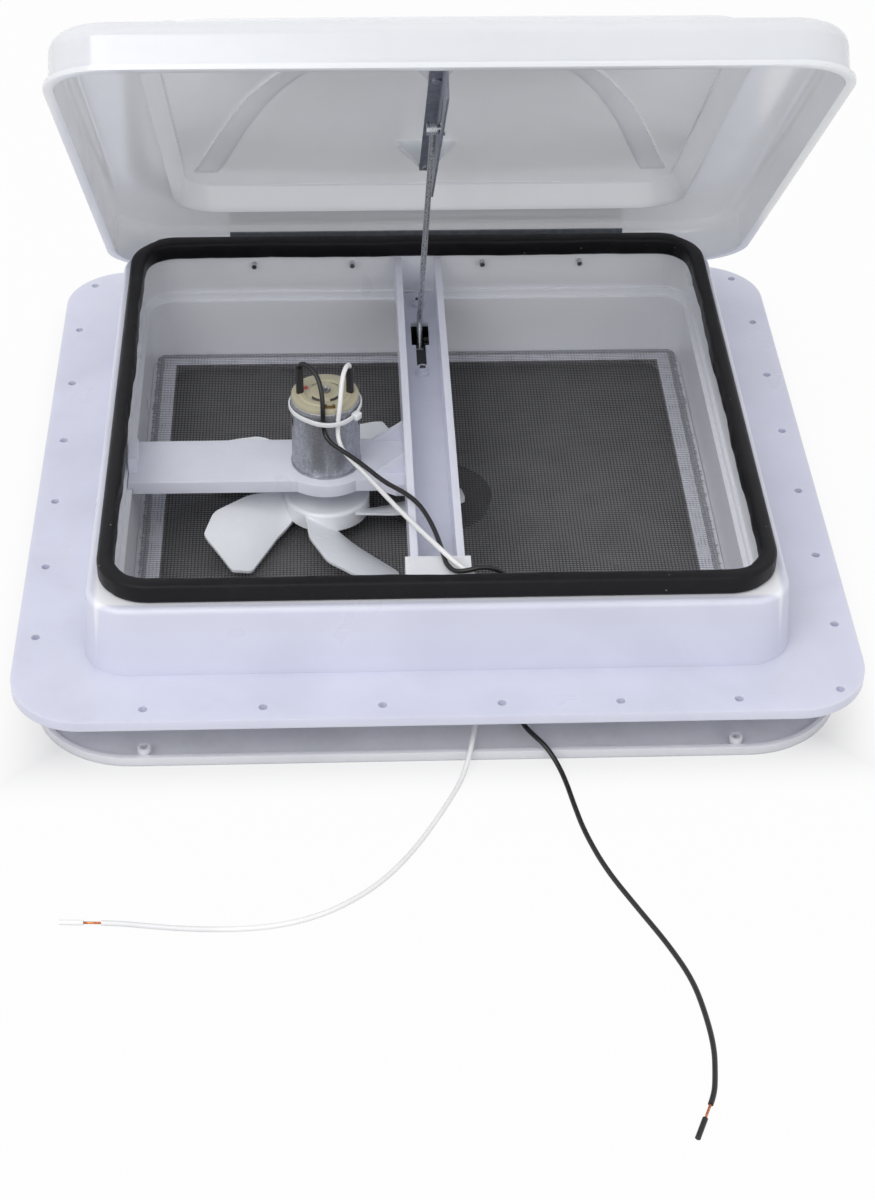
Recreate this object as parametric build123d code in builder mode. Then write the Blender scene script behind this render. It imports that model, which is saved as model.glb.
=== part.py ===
"""Caravan roof vent: hinged dome lid, crank-driven lift arm, 12 volt fan, insect screen and ceiling trim.

Millimetres. The origin is the centre of the flange on the roof plane, +Z is up out of the roof, +Y points
to the hinge and +X to the right as seen from the front. The lid is drawn standing open.
"""

import os
from math import atan2, cos, degrees, pi, radians, sin, sqrt, tan

from build123d import *

os.makedirs("parts", exist_ok=True)

# Curb and neck
neck_inner_half = 164.5
neck_wall = 4.5
neck_outer_half = neck_inner_half + neck_wall
neck_corner = 14.0
neck_depth = 24.5
bore_step = 4.5
bore_half = neck_inner_half + bore_step
bore_corner = 17.0
ledge_step = 2.5
ledge_half = neck_inner_half + ledge_step
ledge_height = 15.5
crease_height = 20.0
moulding_wall = 2.5
curb_cavity = 4.5
curb_top_half = bore_half + 2 * moulding_wall + curb_cavity
curb_lean = 3.5
curb_base_half = curb_top_half + curb_lean
curb_corner = 24.0
seal_seat_height = 44.5
shoulder_radius = 3.0
lead_notch_left = 13.0
lead_notch_right = 50.0
lead_notch_height = 10.5

# Flange and screw rows
flange_width = 36.0
flange_half = curb_base_half + flange_width
flange_corner = 38.0
flange_thickness = 5.5
screw_row_edge = 10.0
screw_row = flange_half - screw_row_edge
screw_pitch = 59.84
screw_hole_radius = 2.25
corner_screw_set_in = 6.0
corner_screw = screw_row - corner_screw_set_in
sealant_recess_depth = 2.5
sealant_recess_margin = 9.0
sealant_recess_outer_half = screw_row - sealant_recess_margin
sealant_recess_wall = 3.0
sealant_recess_inner_half = curb_base_half + sealant_recess_wall

# Rim seal
seal_overhang = 4.0
seal_width = 7.0
seal_inner_half = bore_half - seal_overhang
seal_outer_half = seal_inner_half + seal_width
seal_corner = 27.0
seal_height = 11.0
seal_edge_radius = 2.4

# Lid
lid_side_reach = 10.2
lid_half = curb_base_half + lid_side_reach
lid_front_reach = 9.5
hinge_set_out = 1.0
hinge_set_in = 7.5
hinge_axis_y = curb_base_half + hinge_set_out
lid_length = hinge_axis_y + hinge_set_in + curb_base_half + lid_front_reach
lid_offset = 7.0
lid_front_corner = 31.0
lid_rear_corner = 41.0
lid_wall = 2.3
lid_skirt = 26.5
lid_shoulder_radius = 9.0
lid_rim_lip = 2.7
lid_rim_lip_height = 2.5
lid_step_inset = 38.0
lid_step_front_corner = 26.0
lid_step_rear_corner = 30.0
lid_step_top_inset = 45.0
lid_step_rise = 14.0
lid_crown_rise = 22.0
lid_seal_clearance = 0.3
lid_open_angle = 44.0
arch_rib_height = 1.3
arch_rib_width = 15.0
arch_rib_half = 140.0
arch_rib_reach = 271.0
arch_rib_shares = [
    (140 / 140, 78 / 271),
    (117 / 140, 152 / 271),
    (100 / 140, 194 / 271),
    (75 / 140, 234 / 271),
    (50 / 140, 255 / 271),
    (0, 271 / 271),
]

# Lid hinge
hinge_drop = 11.0
hinge_axis_z = seal_seat_height - hinge_drop
hinge_length = 245.0
hinge_leaf_thickness = 1.0
hinge_barrel_radius = 2.25
hinge_pin_radius = 1.25
hinge_pin_clearance = 0.06
hinge_knuckle_gap = 0.3
hinge_knuckles = 9
hinge_leaf_rise = 10.0
hinge_pad_set_in = 1.4
hinge_pad_face = curb_base_half - hinge_pad_set_in
hinge_pad_reach = 8.0
hinge_pad_bottom = hinge_axis_z - hinge_pad_reach
hinge_pad_half = 125.0
hinge_lid_leaf_height = 17.0
hinge_screw_radius = 1.5
hinge_screw_head_radius = 3.0
hinge_screw_head = 1.8
hinge_screw_length = 17.0
hinge_screw_outer = 100.0
hinge_screw_inner = 40.0

# Centre channel
arm_pivot_set_in = 68.0
arm_pivot_y = hinge_axis_y - arm_pivot_set_in
keyhole_rear_reach = 14.5
keyhole_front_reach = 11.0
keyhole_narrow_reach = 33.5
screw_rear_reach = 35.0
screw_front_reach = 41.6
channel_half = 14.0
channel_wall = 4.0
channel_rise = 1.0
channel_top = seal_seat_height + channel_rise
channel_floor_top = 20.3
channel_floor = 2.8
channel_end_gap = 0.2
channel_rear = neck_inner_half - channel_end_gap
channel_front = -channel_rear
channel_shelf_depth = 9.0
channel_shelf = 4.0
bracket_middle = -3.0
keyhole_wide_half = 5.3
keyhole_wide_rear = arm_pivot_y + keyhole_rear_reach
keyhole_wide_front = arm_pivot_y - keyhole_front_reach
keyhole_narrow_half = 2.9
keyhole_narrow_front = arm_pivot_y - keyhole_narrow_reach
channel_boss_radius = 4.0
channel_boss_height = 2.2
channel_screw_rear = arm_pivot_y + screw_rear_reach
channel_screw_front = arm_pivot_y - screw_front_reach
channel_screw_radius = 1.6
channel_screw_head_radius = 3.2
channel_screw_head = 2.0
channel_screw_length = 15.0
channel_screw_post = 11.0
socket_wall = 2.7
socket_clearance = 0.15
socket_cap = 1.2
socket_length = 24.5
socket_rear = socket_length - neck_inner_half

# Lift arm
arm_pivot_z = 5.5
arm_length = 192.0
arm_open_angle = 72.0
arm_ratio = 1.3
arm_bend_radius = 22.8
arm_bend_angle = 49.0
arm_rod_radius = 1.7
arm_hub_radius = 5.0
arm_hub_width = 4.4
arm_corner_radius = 9.0
arm_drift = 3.8
arm_eye_radius = 3.6
arm_eye_width = 3.8
arm_pivot_radius = 2.0
arm_pivot_clearance = 0.05
slot_pin_radius = 2.0
slot_pin_head_radius = 3.8
slot_pin_head = 1.6
slot_pin_spare = 0.6

# Lift bracket on the lid
bracket_leg_left = -7.0
bracket_leg_width = 8.0
bracket_thickness = 1.2
bracket_leg_height = 36.0
bracket_leg_rear = 85.0
bracket_leg_front = 308.0
bracket_nose_height = 9.0
bracket_tail_height = 20.0
bracket_slot_width = 6.0
bracket_slot_spare = 2.5
bracket_rivet_radius = 1.6
bracket_rivet_head_radius = 2.6
bracket_rivet_head = 1.0
gusset_rear = 92.0
gusset_front = 255.0
gusset_foot_half = 4.5
gusset_thickness = 8.0

# Lift operator below the channel
wheel_teeth = 24
wheel_radius = 11.2
wheel_root_radius = 9.6
wheel_width = 4.0
worm_offset_x = 4.2
worm_axis_drop = 15.6
worm_radius = 4.0
worm_root_radius = 2.8
worm_length = 18.0
worm_pitch = 3.0
worm_shaft_radius = 2.0
bevel_size = 5.6
bevel_nose = 2.9
bevel_clearance = 0.35
spindle_reach = 65.0
spindle_y = arm_pivot_y - spindle_reach
spindle_radius = 2.5
housing_wall = 1.8
housing_left = -8.0
housing_right = 12.0
housing_rear_reach = 21.0
housing_rear = arm_pivot_y + housing_rear_reach
housing_front_reach = 64.0
housing_front = arm_pivot_y - housing_front_reach
housing_bottom = -18.5
housing_boss_radius = 8.0
bearing_clearance = 0.05
crank_thickness = 6.0
crank_top = -24.5
crank_hub_radius = 10.0
crank_grip_radius = 31.0
crank_grip_x = 7.0
crank_grip_reach = 36.0
crank_grip_y = spindle_y - crank_grip_reach
crank_edge_radius = 2.0

# Fan strut and motor
strut_top = 19.5
strut_height = 7.3
strut_front = -33.6
strut_rear = 7.0
strut_wall = 2.4
strut_end_gap = 0.3
strut_tongue = 2.4
strut_wing = 5.2
strut_collar_radius = 26.0
strut_end_tab_height = 9.0
strut_gusset_set_in = 7.7
strut_gusset_front_y = strut_front + strut_gusset_set_in
strut_gusset_run = 17.0
strut_gusset_rise = 12.0
strut_gusset_thickness = 2.4
motor_x = -57.0
motor_y = -13.2
motor_can_radius = 19.0
motor_height = 45.0
motor_cap_height = 7.0
motor_cap_edge = 1.6
motor_base_ring = 1.2
motor_base_ring_radius = 19.6
motor_boss_radius = 5.0
motor_boss_height = 2.2
motor_shaft_radius = 1.0
motor_shaft_length = 45.0
motor_shaft_seat = 14.0
motor_screw_radius = 1.25
motor_screw_head_radius = 2.3
motor_screw_head = 1.3
motor_screw_offset = 8.5
motor_screw_grip = 2.5
cap_bearing_radius = 5.0
cap_bearing_height = 1.6
cap_vent_radius = 12.5
cap_vent_width = 2.2
cap_vent_sweep = 52.0
terminal_offset = 13.7
terminal_width = 3.0
terminal_thickness = 0.8
terminal_height = 12.0
sleeve_radius = 2.1
sleeve_height = 16.0
sleeve_wall = 0.45

# Cable tie
tie_gap = 0.3
tie_thickness = 1.0
tie_width = 2.6
tie_drop = 1.6
tie_head = 4.2
tie_head_angle = -38.0

# Fan
fan_tip_radius = 78.0
fan_hub_radius = 24.0
fan_blades = 5
fan_hub_top = -2.0
fan_hub_height = 11.0
fan_hub_wall = 2.0
fan_blade_thickness = 1.6
fan_lead_height = -0.5
fan_trail_height = -17.0
fan_blade_angle = -141.0
fan_camber = 2.4
fan_twist_reach = 45.0
fan_hub_drop = -5.0
fan_hub_lift = 6.0
fan_section_shares = [
    (10 / 78, -19 / 78, -3 / 78),
    (38 / 78, -26 / 78, 4 / 78),
    (62 / 78, -25.5 / 78, 14.5 / 78),
    (84 / 78, -25 / 78, 20 / 78),
]
fan_outline_shares = [
    (12 / 78, -18 / 78, 0),
    (36.8 / 78, -25 / 78, 20 / 78),
    (62 / 78, -24 / 78, 14 / 78),
    (77.5 / 78, -13 / 78, 5 / 78),
    (77.5 / 78, 12 / 78, 2 / 78),
    (67 / 78, 16 / 78, 6 / 78),
    (38.3 / 78, 2.6 / 78, 18 / 78),
    (16 / 78, -5 / 78, 0),
]

# Interior trim and screen
trim_set_in = 8.0
trim_half = flange_half - trim_set_in
trim_corner = 53.0
trim_bottom = -31.0
trim_floor = 2.5
trim_lip_height = 5.5
trim_lip_wall = 2.5
trim_ledge = 14.5
trim_opening_half = neck_inner_half - trim_ledge
trim_collar_clearance = 0.4
trim_collar_wall = 2.5
trim_collar_corner = 12.0
trim_flange_top = -22.5
trim_flange_thickness = 2.0
trim_tube_radius = 3.5
trim_tube_bore = 1.9
trim_tube_height = 6.0
trim_tube_inset = 1.0
trim_tube_x = trim_opening_half + trim_tube_inset
trim_tube_set_in = 5.6
trim_tube_y = trim_half - trim_tube_set_in
screen_thickness = 1.0
screen_edge_clearance = 0.6
screen_gaps = 12
screen_bar = 4.0
screen_margin = 1.5
screen_spindle_hole = 8.0

# Leads
lead_radius = 1.3
copper_radius = 0.6
bare_length = 8.5
stripped_tip = 11.5

overrun = 5.0


def square_plate(half, corner, hole=0, hole_corner=0):
    """A square with round corners about the origin, with a smaller one cut out where a hole is given."""
    with BuildSketch() as plate:
        RectangleRounded(2 * half, 2 * half, corner)
        if hole:
            RectangleRounded(2 * hole, 2 * hole, hole_corner, mode=Mode.SUBTRACT)
    return plate.sketch


def export(part, name):
    """Label one finished piece and write it to its own file."""
    part.part.label = name
    export_step(part.part, f"parts/{name}.step")


# Lid frame: s runs across, t from the rear lip to the front, h up from the rim plane.
lid_rim_closed = seal_seat_height + seal_height + lid_seal_clearance - (lid_skirt - lid_wall)
lid_rear_closed = hinge_axis_y + hinge_set_in


def lid_vector(t_share, h_share, angle=lid_open_angle):
    """Direction in the lid's own frame, turned up with the lid."""
    turn = radians(angle)
    return Vector(0, -t_share * cos(turn) + h_share * sin(turn), t_share * sin(turn) + h_share * cos(turn))


def lid_point(s, t, h, angle=lid_open_angle):
    """A point of the lid, turned about the hinge pin by the opening angle."""
    back = lid_rear_closed - t - hinge_axis_y
    up = lid_rim_closed + h - hinge_axis_z
    turn = radians(angle)
    y = hinge_axis_y + back * cos(turn) + up * sin(turn)
    z = hinge_axis_z - back * sin(turn) + up * cos(turn)
    return Vector(lid_offset + s, y, z)


def lid_plane(height, s=0, t=lid_length / 2):
    """A plane across the lid at one height above its rim, x to the right and y to the rear."""
    return Plane(origin=lid_point(s, t, height), x_dir=Vector(1, 0, 0), z_dir=lid_vector(0, 1))


def lid_cross_plane(s, t):
    """A plane across the lid facing forwards, x to the right and y up in the lid's own frame."""
    return Plane(origin=lid_point(s, t, 0), x_dir=Vector(1, 0, 0), z_dir=lid_vector(1, 0))


def lid_side_plane(s):
    """A plane along the lid, x forwards and y up in the lid's own frame, looking to the left."""
    return Plane(origin=lid_point(s, 0, 0), x_dir=lid_vector(1, 0), z_dir=Vector(-1, 0, 0))


def lid_outline(inset, corner_inset, front=0, rear=0):
    """The lid's outline drawn inside by the inset, its front and rear corners tighter by the corner inset."""
    half = lid_half - inset
    length = lid_length / 2 - inset
    front = (front or lid_front_corner) - corner_inset
    rear = (rear or lid_rear_corner) - corner_inset
    with BuildSketch() as outline:
        Rectangle(2 * half, 2 * length)
        fillet(outline.vertices().group_by(Axis.Y)[0], front)
        fillet(outline.vertices().group_by(Axis.Y)[-1], rear)
    return outline.sketch


def arm_pin_in_lid(opening):
    """Where the arm's pin stands in the lid's own side view when the lid has opened by this angle."""
    swing = radians(arm_open_angle - (lid_open_angle - opening) * arm_ratio)
    y = arm_pivot_y - arm_length * cos(swing) - hinge_axis_y
    z = arm_pivot_z + arm_length * sin(swing) - hinge_axis_z
    turn = radians(opening)
    back = y * cos(turn) - z * sin(turn)
    up = y * sin(turn) + z * cos(turn)
    return (lid_rear_closed - hinge_axis_y - back, up + hinge_axis_z - lid_rim_closed)


def crown_height(s, t):
    """Height of the crowned panel's inner face above the rim."""
    u = s / panel_half_width
    v = (t - lid_length / 2) / panel_half_length
    return panel_edge_height + lid_crown_rise * (1 - u * u) * (1 - v * v)


panel_half_width = lid_half - lid_step_top_inset
panel_half_length = lid_length / 2 - lid_step_top_inset
panel_edge_height = lid_skirt + lid_step_rise - lid_wall


# Base: flange, curb and neck in one moulding, with the hinge pad, channel shelf and front socket
curb_taper = degrees(atan2(curb_base_half - curb_top_half, seal_seat_height - flange_thickness))
cavity_inner = bore_half + moulding_wall
cavity_outer = curb_top_half - moulding_wall
channel_bottom = channel_floor_top - channel_floor
screw_places = [
    (screw_pitch * step, side * screw_row)
    for step in (-2.5, -1.5, -0.5, 0.5, 1.5, 2.5)
    for side in (-1, 1)
]
screw_places += [(y, x) for x, y in screw_places]
screw_places += [(-corner_screw, corner_screw), (corner_screw, corner_screw), (corner_screw, -corner_screw)]
hinge_screw_places = (-hinge_screw_outer, -hinge_screw_inner, hinge_screw_inner, hinge_screw_outer)
hinge_leaf_top = hinge_axis_z + hinge_leaf_rise
hinge_screw_height = hinge_axis_z + hinge_leaf_rise * 0.6
socket_half = channel_half + socket_clearance + socket_wall
socket_top = channel_top + socket_clearance + socket_cap

flange_plate = square_plate(flange_half, flange_corner)
curb_plate = square_plate(curb_base_half, curb_corner)
neck_plate = square_plate(neck_outer_half, neck_corner + neck_outer_half - neck_inner_half)
bore_plate = square_plate(bore_half, bore_corner)
ledge_plate = square_plate(ledge_half, neck_corner)
throat_plate = square_plate(neck_inner_half, neck_corner)
cavity_plate = square_plate(cavity_outer, curb_corner - moulding_wall, cavity_inner, bore_corner)
recess_plate = square_plate(
    sealant_recess_outer_half, curb_corner, sealant_recess_inner_half, curb_corner
)

with BuildPart() as base:
    with BuildSketch(Plane.XY):
        add(flange_plate)
    extrude(amount=flange_thickness)
    with BuildSketch(Plane.XY.offset(flange_thickness)):
        add(curb_plate)
    extrude(amount=seal_seat_height - flange_thickness, taper=curb_taper)
    fillet(base.faces().sort_by(Axis.Z)[-1].outer_wire().edges(), shoulder_radius)
    with BuildSketch(Plane.XY):
        add(neck_plate)
    extrude(amount=-neck_depth)
    with BuildSketch(Plane.XY.offset(seal_seat_height)):
        add(bore_plate)
    extrude(amount=crease_height - seal_seat_height, mode=Mode.SUBTRACT)
    with BuildSketch(Plane.XY.offset(crease_height)):
        add(ledge_plate)
    extrude(amount=ledge_height - crease_height, mode=Mode.SUBTRACT)
    with BuildSketch(Plane.XY.offset(ledge_height)):
        add(throat_plate)
    extrude(amount=-ledge_height - neck_depth, mode=Mode.SUBTRACT)
    with BuildSketch(Plane.XY):
        add(cavity_plate)
    extrude(amount=seal_seat_height - shoulder_radius, mode=Mode.SUBTRACT)
    with BuildSketch(Plane.XY):
        add(recess_plate)
    extrude(amount=sealant_recess_depth, mode=Mode.SUBTRACT)
    with BuildSketch(Plane.XY):
        with Locations(*screw_places):
            Circle(screw_hole_radius)
    extrude(amount=flange_thickness, mode=Mode.SUBTRACT)
    with BuildSketch(Plane.XY.offset(hinge_pad_bottom)):
        with Locations((lid_offset, (hinge_pad_face + bore_half) / 2)):
            Rectangle(2 * hinge_pad_half, hinge_pad_face - bore_half)
    extrude(amount=hinge_leaf_top - hinge_pad_bottom)
    with BuildSketch(Plane.XZ.offset(-hinge_pad_face)):
        with Locations(*[(x, hinge_screw_height) for x in hinge_screw_places]):
            Circle(hinge_screw_radius)
    extrude(amount=hinge_pad_face - bore_half, mode=Mode.SUBTRACT)
    with BuildSketch(Plane.XY.offset(channel_bottom)):
        with Locations((0, ledge_half - channel_shelf_depth / 2)):
            Rectangle(2 * channel_half, channel_shelf_depth)
    extrude(amount=-channel_shelf)
    with BuildSketch(Plane.XZ.offset(-socket_rear)):
        with Locations((0, (ledge_height + socket_top) / 2)):
            Rectangle(2 * socket_half, socket_top - ledge_height)
        with Locations((0, (channel_bottom + channel_top + socket_clearance) / 2)):
            Rectangle(
                2 * (channel_half + socket_clearance),
                channel_top + socket_clearance - channel_bottom,
                mode=Mode.SUBTRACT,
            )
    extrude(amount=bore_half + socket_rear + moulding_wall / 2)
    with BuildSketch(Plane.XY.offset(seal_seat_height)):
        with Locations((0, -seal_inner_half + socket_clearance - overrun)):
            Rectangle(2 * socket_half, 2 * overrun)
    extrude(amount=overrun, mode=Mode.SUBTRACT)
    with BuildSketch(Plane.XY.offset(-neck_depth)):
        with Locations(((lead_notch_left + lead_notch_right) / 2, -(neck_inner_half + neck_outer_half) / 2)):
            Rectangle(lead_notch_right - lead_notch_left, overrun)
    extrude(amount=lead_notch_height, mode=Mode.SUBTRACT)
export(base, "base")

# Rim seal: a soft square ring on the curb
seal_plate = square_plate(seal_outer_half, seal_corner, seal_inner_half, seal_corner - seal_width)

with BuildPart() as rim_seal:
    with BuildSketch(Plane.XY.offset(seal_seat_height)):
        add(seal_plate)
    extrude(amount=seal_height)
    fillet(rim_seal.faces().sort_by(Axis.Z)[-1].edges(), seal_edge_radius)
export(rim_seal, "rim_seal")

# Lid: skirt, border and step as one shell, with the crowned panel let into the step
step_lean = atan2(lid_step_top_inset - lid_step_inset, lid_step_rise)
step_taper = degrees(step_lean)
step_core_inset = lid_wall / cos(step_lean) - lid_wall * tan(step_lean)
step_corners = (lid_step_front_corner, lid_step_rear_corner)
step_top_inset = lid_step_top_inset - lid_step_inset
lid_up = Axis(lid_point(0, 0, 0), lid_vector(0, 1))
crown_shares = (-1, -0.8, -0.45, 0, 0.45, 0.8, 1)
crown_lap = lid_wall * 0.4

lid_blank = lid_outline(0, 0)
lid_rim_blank = lid_outline(-lid_rim_lip, -lid_rim_lip)
lid_core_blank = lid_outline(lid_wall, lid_wall)
lid_step_blank = lid_outline(lid_step_inset, 0, *step_corners)
lid_step_core_blank = lid_outline(lid_step_inset + step_core_inset, step_core_inset, *step_corners)
lid_window_blank = lid_outline(lid_step_top_inset + lid_wall, step_top_inset + lid_wall, *step_corners)
lid_panel_blank = lid_outline(lid_step_top_inset - crown_lap, step_top_inset - crown_lap, *step_corners)


def crown_section(v_share, drop):
    """One cross line of the crowned panel's shell, lowered by the drop, as a thin arc band."""
    rise = lid_crown_rise * (1 - v_share * v_share)
    edge = panel_edge_height - drop
    wall = lid_wall + drop
    half = panel_half_width + lid_wall
    t = lid_length / 2 + v_share * (panel_half_length + lid_wall)
    plane = Plane(origin=lid_point(0, t, 0), x_dir=Vector(1, 0, 0), z_dir=lid_vector(1, 0))
    with BuildSketch(plane) as section:
        with BuildLine():
            if rise > lid_wall / 10:
                ThreePointArc((-half, edge), (0, edge + rise), (half, edge))
                Line((half, edge), (half, edge + wall))
                ThreePointArc((half, edge + wall), (0, edge + wall + rise), (-half, edge + wall))
            else:
                Polyline((-half, edge), (half, edge), (half, edge + wall), (-half, edge + wall))
            Line((-half, edge + wall), (-half, edge))
        make_face()
    return section.sketch.faces()[0]


barrel_t = lid_rear_closed - hinge_axis_y
barrel_h = hinge_axis_z - lid_rim_closed
leaf_foot = barrel_h - hinge_leaf_thickness / 2
lid_screw_places = [x - lid_offset for x in hinge_screw_places]
lid_screw_height = leaf_foot + (hinge_lid_leaf_height - leaf_foot) * 0.6


def lid_skirt_plane(s, t):
    """A plane facing the front from inside the lid's rear skirt, at the height of the leaf's screws."""
    return Plane(origin=lid_point(s, t, lid_screw_height), x_dir=Vector(1, 0, 0), z_dir=lid_vector(1, 0))


with BuildPart() as lid_crown:
    loft(sections=[crown_section(v, 0) for v in crown_shares])
    with BuildSketch(lid_plane(0)):
        add(lid_panel_blank)
    extrude(amount=panel_edge_height + 2 * lid_crown_rise, mode=Mode.INTERSECT)

arch_rib_places = [(across * arch_rib_half, along * arch_rib_reach) for across, along in arch_rib_shares]
rib_outer = [(-s, t) for s, t in arch_rib_places] + [(s, t) for s, t in arch_rib_places[-2::-1]]


def beside_rib(points, distance):
    """Points beside a line of points, moved towards its inner side by a distance."""
    moved = []
    for i, here in enumerate(points):
        before = Vector(*points[max(i - 1, 0)])
        after = Vector(*points[min(i + 1, len(points) - 1)])
        along = (after - before).normalized()
        moved.append((here[0] + along.Y * distance, here[1] - along.X * distance))
    return moved


rib_inner = beside_rib(rib_outer, arch_rib_width)

with BuildPart() as arch_rib:
    add(lid_crown.part.moved(Location(lid_vector(0, 1) * -arch_rib_height)))
    with BuildSketch(lid_plane(0, 0, 0)) as rib_band:
        with BuildLine():
            Spline(*[(s, -t) for s, t in rib_outer])
            Line((rib_outer[-1][0], -rib_outer[-1][1]), (rib_inner[-1][0], -rib_inner[-1][1]))
            Spline(*[(s, -t) for s, t in rib_inner[::-1]])
            Line((rib_inner[0][0], -rib_inner[0][1]), (rib_outer[0][0], -rib_outer[0][1]))
        make_face()
    extrude(amount=panel_edge_height + 2 * lid_crown_rise, mode=Mode.INTERSECT)

with BuildPart() as lid_core:
    with BuildSketch(lid_plane(0)):
        add(lid_core_blank)
    extrude(amount=lid_skirt - lid_wall)
    fillet(lid_core.faces().sort_by(lid_up)[-1].edges(), lid_shoulder_radius - lid_wall)
    with BuildSketch(lid_plane(lid_skirt - lid_wall)):
        add(lid_step_core_blank)
    extrude(amount=lid_step_rise, taper=step_taper)

with BuildPart() as lid:
    with BuildSketch(lid_plane(0)):
        add(lid_blank)
    extrude(amount=lid_skirt)
    fillet(lid.faces().sort_by(lid_up)[-1].edges(), lid_shoulder_radius)
    with BuildSketch(lid_plane(0)):
        add(lid_rim_blank)
    extrude(amount=lid_rim_lip_height)
    with BuildSketch(lid_plane(lid_skirt)):
        add(lid_step_blank)
    extrude(amount=lid_step_rise, taper=step_taper)
    add(lid_core.part, mode=Mode.SUBTRACT)
    with BuildSketch(lid_plane(panel_edge_height - lid_wall)):
        add(lid_window_blank)
    extrude(amount=3 * lid_wall, mode=Mode.SUBTRACT)
    add(lid_crown.part)
    add(arch_rib.part)
    for t in (gusset_rear, gusset_front):
        foot = bracket_leg_height + bracket_thickness
        top = crown_height(bracket_middle, t) + lid_wall / 2
        reach = gusset_foot_half + top - foot
        with BuildSketch(lid_cross_plane(bracket_middle, t + gusset_thickness / 2)):
            with BuildLine():
                Polyline(
                    (-gusset_foot_half, foot),
                    (gusset_foot_half, foot),
                    (reach, top),
                    (-reach, top),
                    close=True,
                )
            make_face()
        extrude(amount=-gusset_thickness)
        with Locations(lid_plane(bracket_leg_height + bracket_thickness, bracket_middle, t)):
            Cylinder(
                bracket_rivet_radius,
                gusset_thickness,
                align=(Align.CENTER, Align.CENTER, Align.MIN),
                mode=Mode.SUBTRACT,
            )
    for s in lid_screw_places:
        with BuildSketch(lid_skirt_plane(s, 0)):
            Circle(hinge_screw_radius)
        extrude(amount=lid_wall, mode=Mode.SUBTRACT)
export(lid, "lid")

# Hinge: a leaf on the curb's pad, a leaf inside the lid's rear skirt, and the pin through their knuckles
hinge_pitch = hinge_length / hinge_knuckles
hinge_left = lid_offset - hinge_length / 2
leaf_relief = hinge_barrel_radius + 2 * hinge_knuckle_gap
leaf_reach = barrel_t - hinge_barrel_radius - hinge_knuckle_gap


def hinge_spans(own):
    """Left end of every second knuckle, starting with the first for the curb's leaf."""
    return [hinge_left + hinge_pitch * i + hinge_knuckle_gap / 2 for i in range(own, hinge_knuckles, 2)]


with BuildPart() as hinge_base_leaf:
    with BuildSketch(Plane.YZ.offset(hinge_left)):
        with Locations((hinge_pad_face, hinge_leaf_top)):
            Rectangle(
                hinge_leaf_thickness, hinge_leaf_rise - leaf_relief, align=(Align.MIN, Align.MAX)
            )
    extrude(amount=hinge_length)
    for x in hinge_spans(0):
        with BuildSketch(Plane.YZ.offset(x)):
            with Locations((hinge_pad_face, hinge_leaf_top)):
                Rectangle(hinge_leaf_thickness, hinge_leaf_rise, align=(Align.MIN, Align.MAX))
            with Locations((hinge_axis_y, hinge_axis_z)):
                Circle(hinge_barrel_radius)
        extrude(amount=hinge_pitch - hinge_knuckle_gap)
    with BuildSketch(Plane.YZ.offset(hinge_left)):
        with Locations((hinge_axis_y, hinge_axis_z)):
            Circle(hinge_pin_radius + hinge_pin_clearance)
    extrude(amount=hinge_length, mode=Mode.SUBTRACT)
    with BuildSketch(Plane.XZ.offset(-hinge_pad_face)):
        with Locations(*[(x, hinge_screw_height) for x in hinge_screw_places]):
            Circle(hinge_screw_radius)
    extrude(amount=-hinge_leaf_thickness, mode=Mode.SUBTRACT)
export(hinge_base_leaf, "hinge_base_leaf")

with BuildPart() as hinge_lid_leaf:
    with BuildSketch(lid_side_plane(hinge_left - lid_offset)):
        with Locations((lid_wall, leaf_foot)):
            Rectangle(
                hinge_leaf_thickness, hinge_lid_leaf_height - leaf_foot, align=(Align.MIN, Align.MIN)
            )
            Rectangle(leaf_reach - lid_wall, hinge_leaf_thickness, align=(Align.MIN, Align.MIN))
    extrude(amount=-hinge_length)
    for x in hinge_spans(1):
        with BuildSketch(lid_side_plane(x - lid_offset)):
            with Locations((lid_wall, leaf_foot)):
                Rectangle(barrel_t - lid_wall, hinge_leaf_thickness, align=(Align.MIN, Align.MIN))
            with Locations((barrel_t, barrel_h)):
                Circle(hinge_barrel_radius)
        extrude(amount=-hinge_pitch + hinge_knuckle_gap)
    with BuildSketch(lid_side_plane(hinge_left - lid_offset)):
        with Locations((barrel_t, barrel_h)):
            Circle(hinge_pin_radius + hinge_pin_clearance)
    extrude(amount=-hinge_length, mode=Mode.SUBTRACT)
    for s in lid_screw_places:
        with BuildSketch(lid_skirt_plane(s, lid_wall)):
            Circle(hinge_screw_radius)
        extrude(amount=hinge_leaf_thickness, mode=Mode.SUBTRACT)
export(hinge_lid_leaf, "hinge_lid_leaf")

with BuildPart() as hinge_pin:
    with BuildSketch(Plane.YZ.offset(hinge_left)):
        with Locations((hinge_axis_y, hinge_axis_z)):
            Circle(hinge_pin_radius)
    extrude(amount=hinge_length)
export(hinge_pin, "hinge_pin")

with BuildPart() as hinge_curb_screws:
    for x in hinge_screw_places:
        with BuildSketch(Plane.XZ.offset(-hinge_pad_face - hinge_leaf_thickness)):
            with Locations((x, hinge_screw_height)):
                Circle(hinge_screw_radius)
        extrude(amount=hinge_screw_length)
        with BuildSketch(Plane.XZ.offset(-hinge_pad_face - hinge_leaf_thickness)):
            with Locations((x, hinge_screw_height)):
                Circle(hinge_screw_head_radius)
        extrude(amount=-hinge_screw_head)
export(hinge_curb_screws, "hinge_curb_screws")

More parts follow.
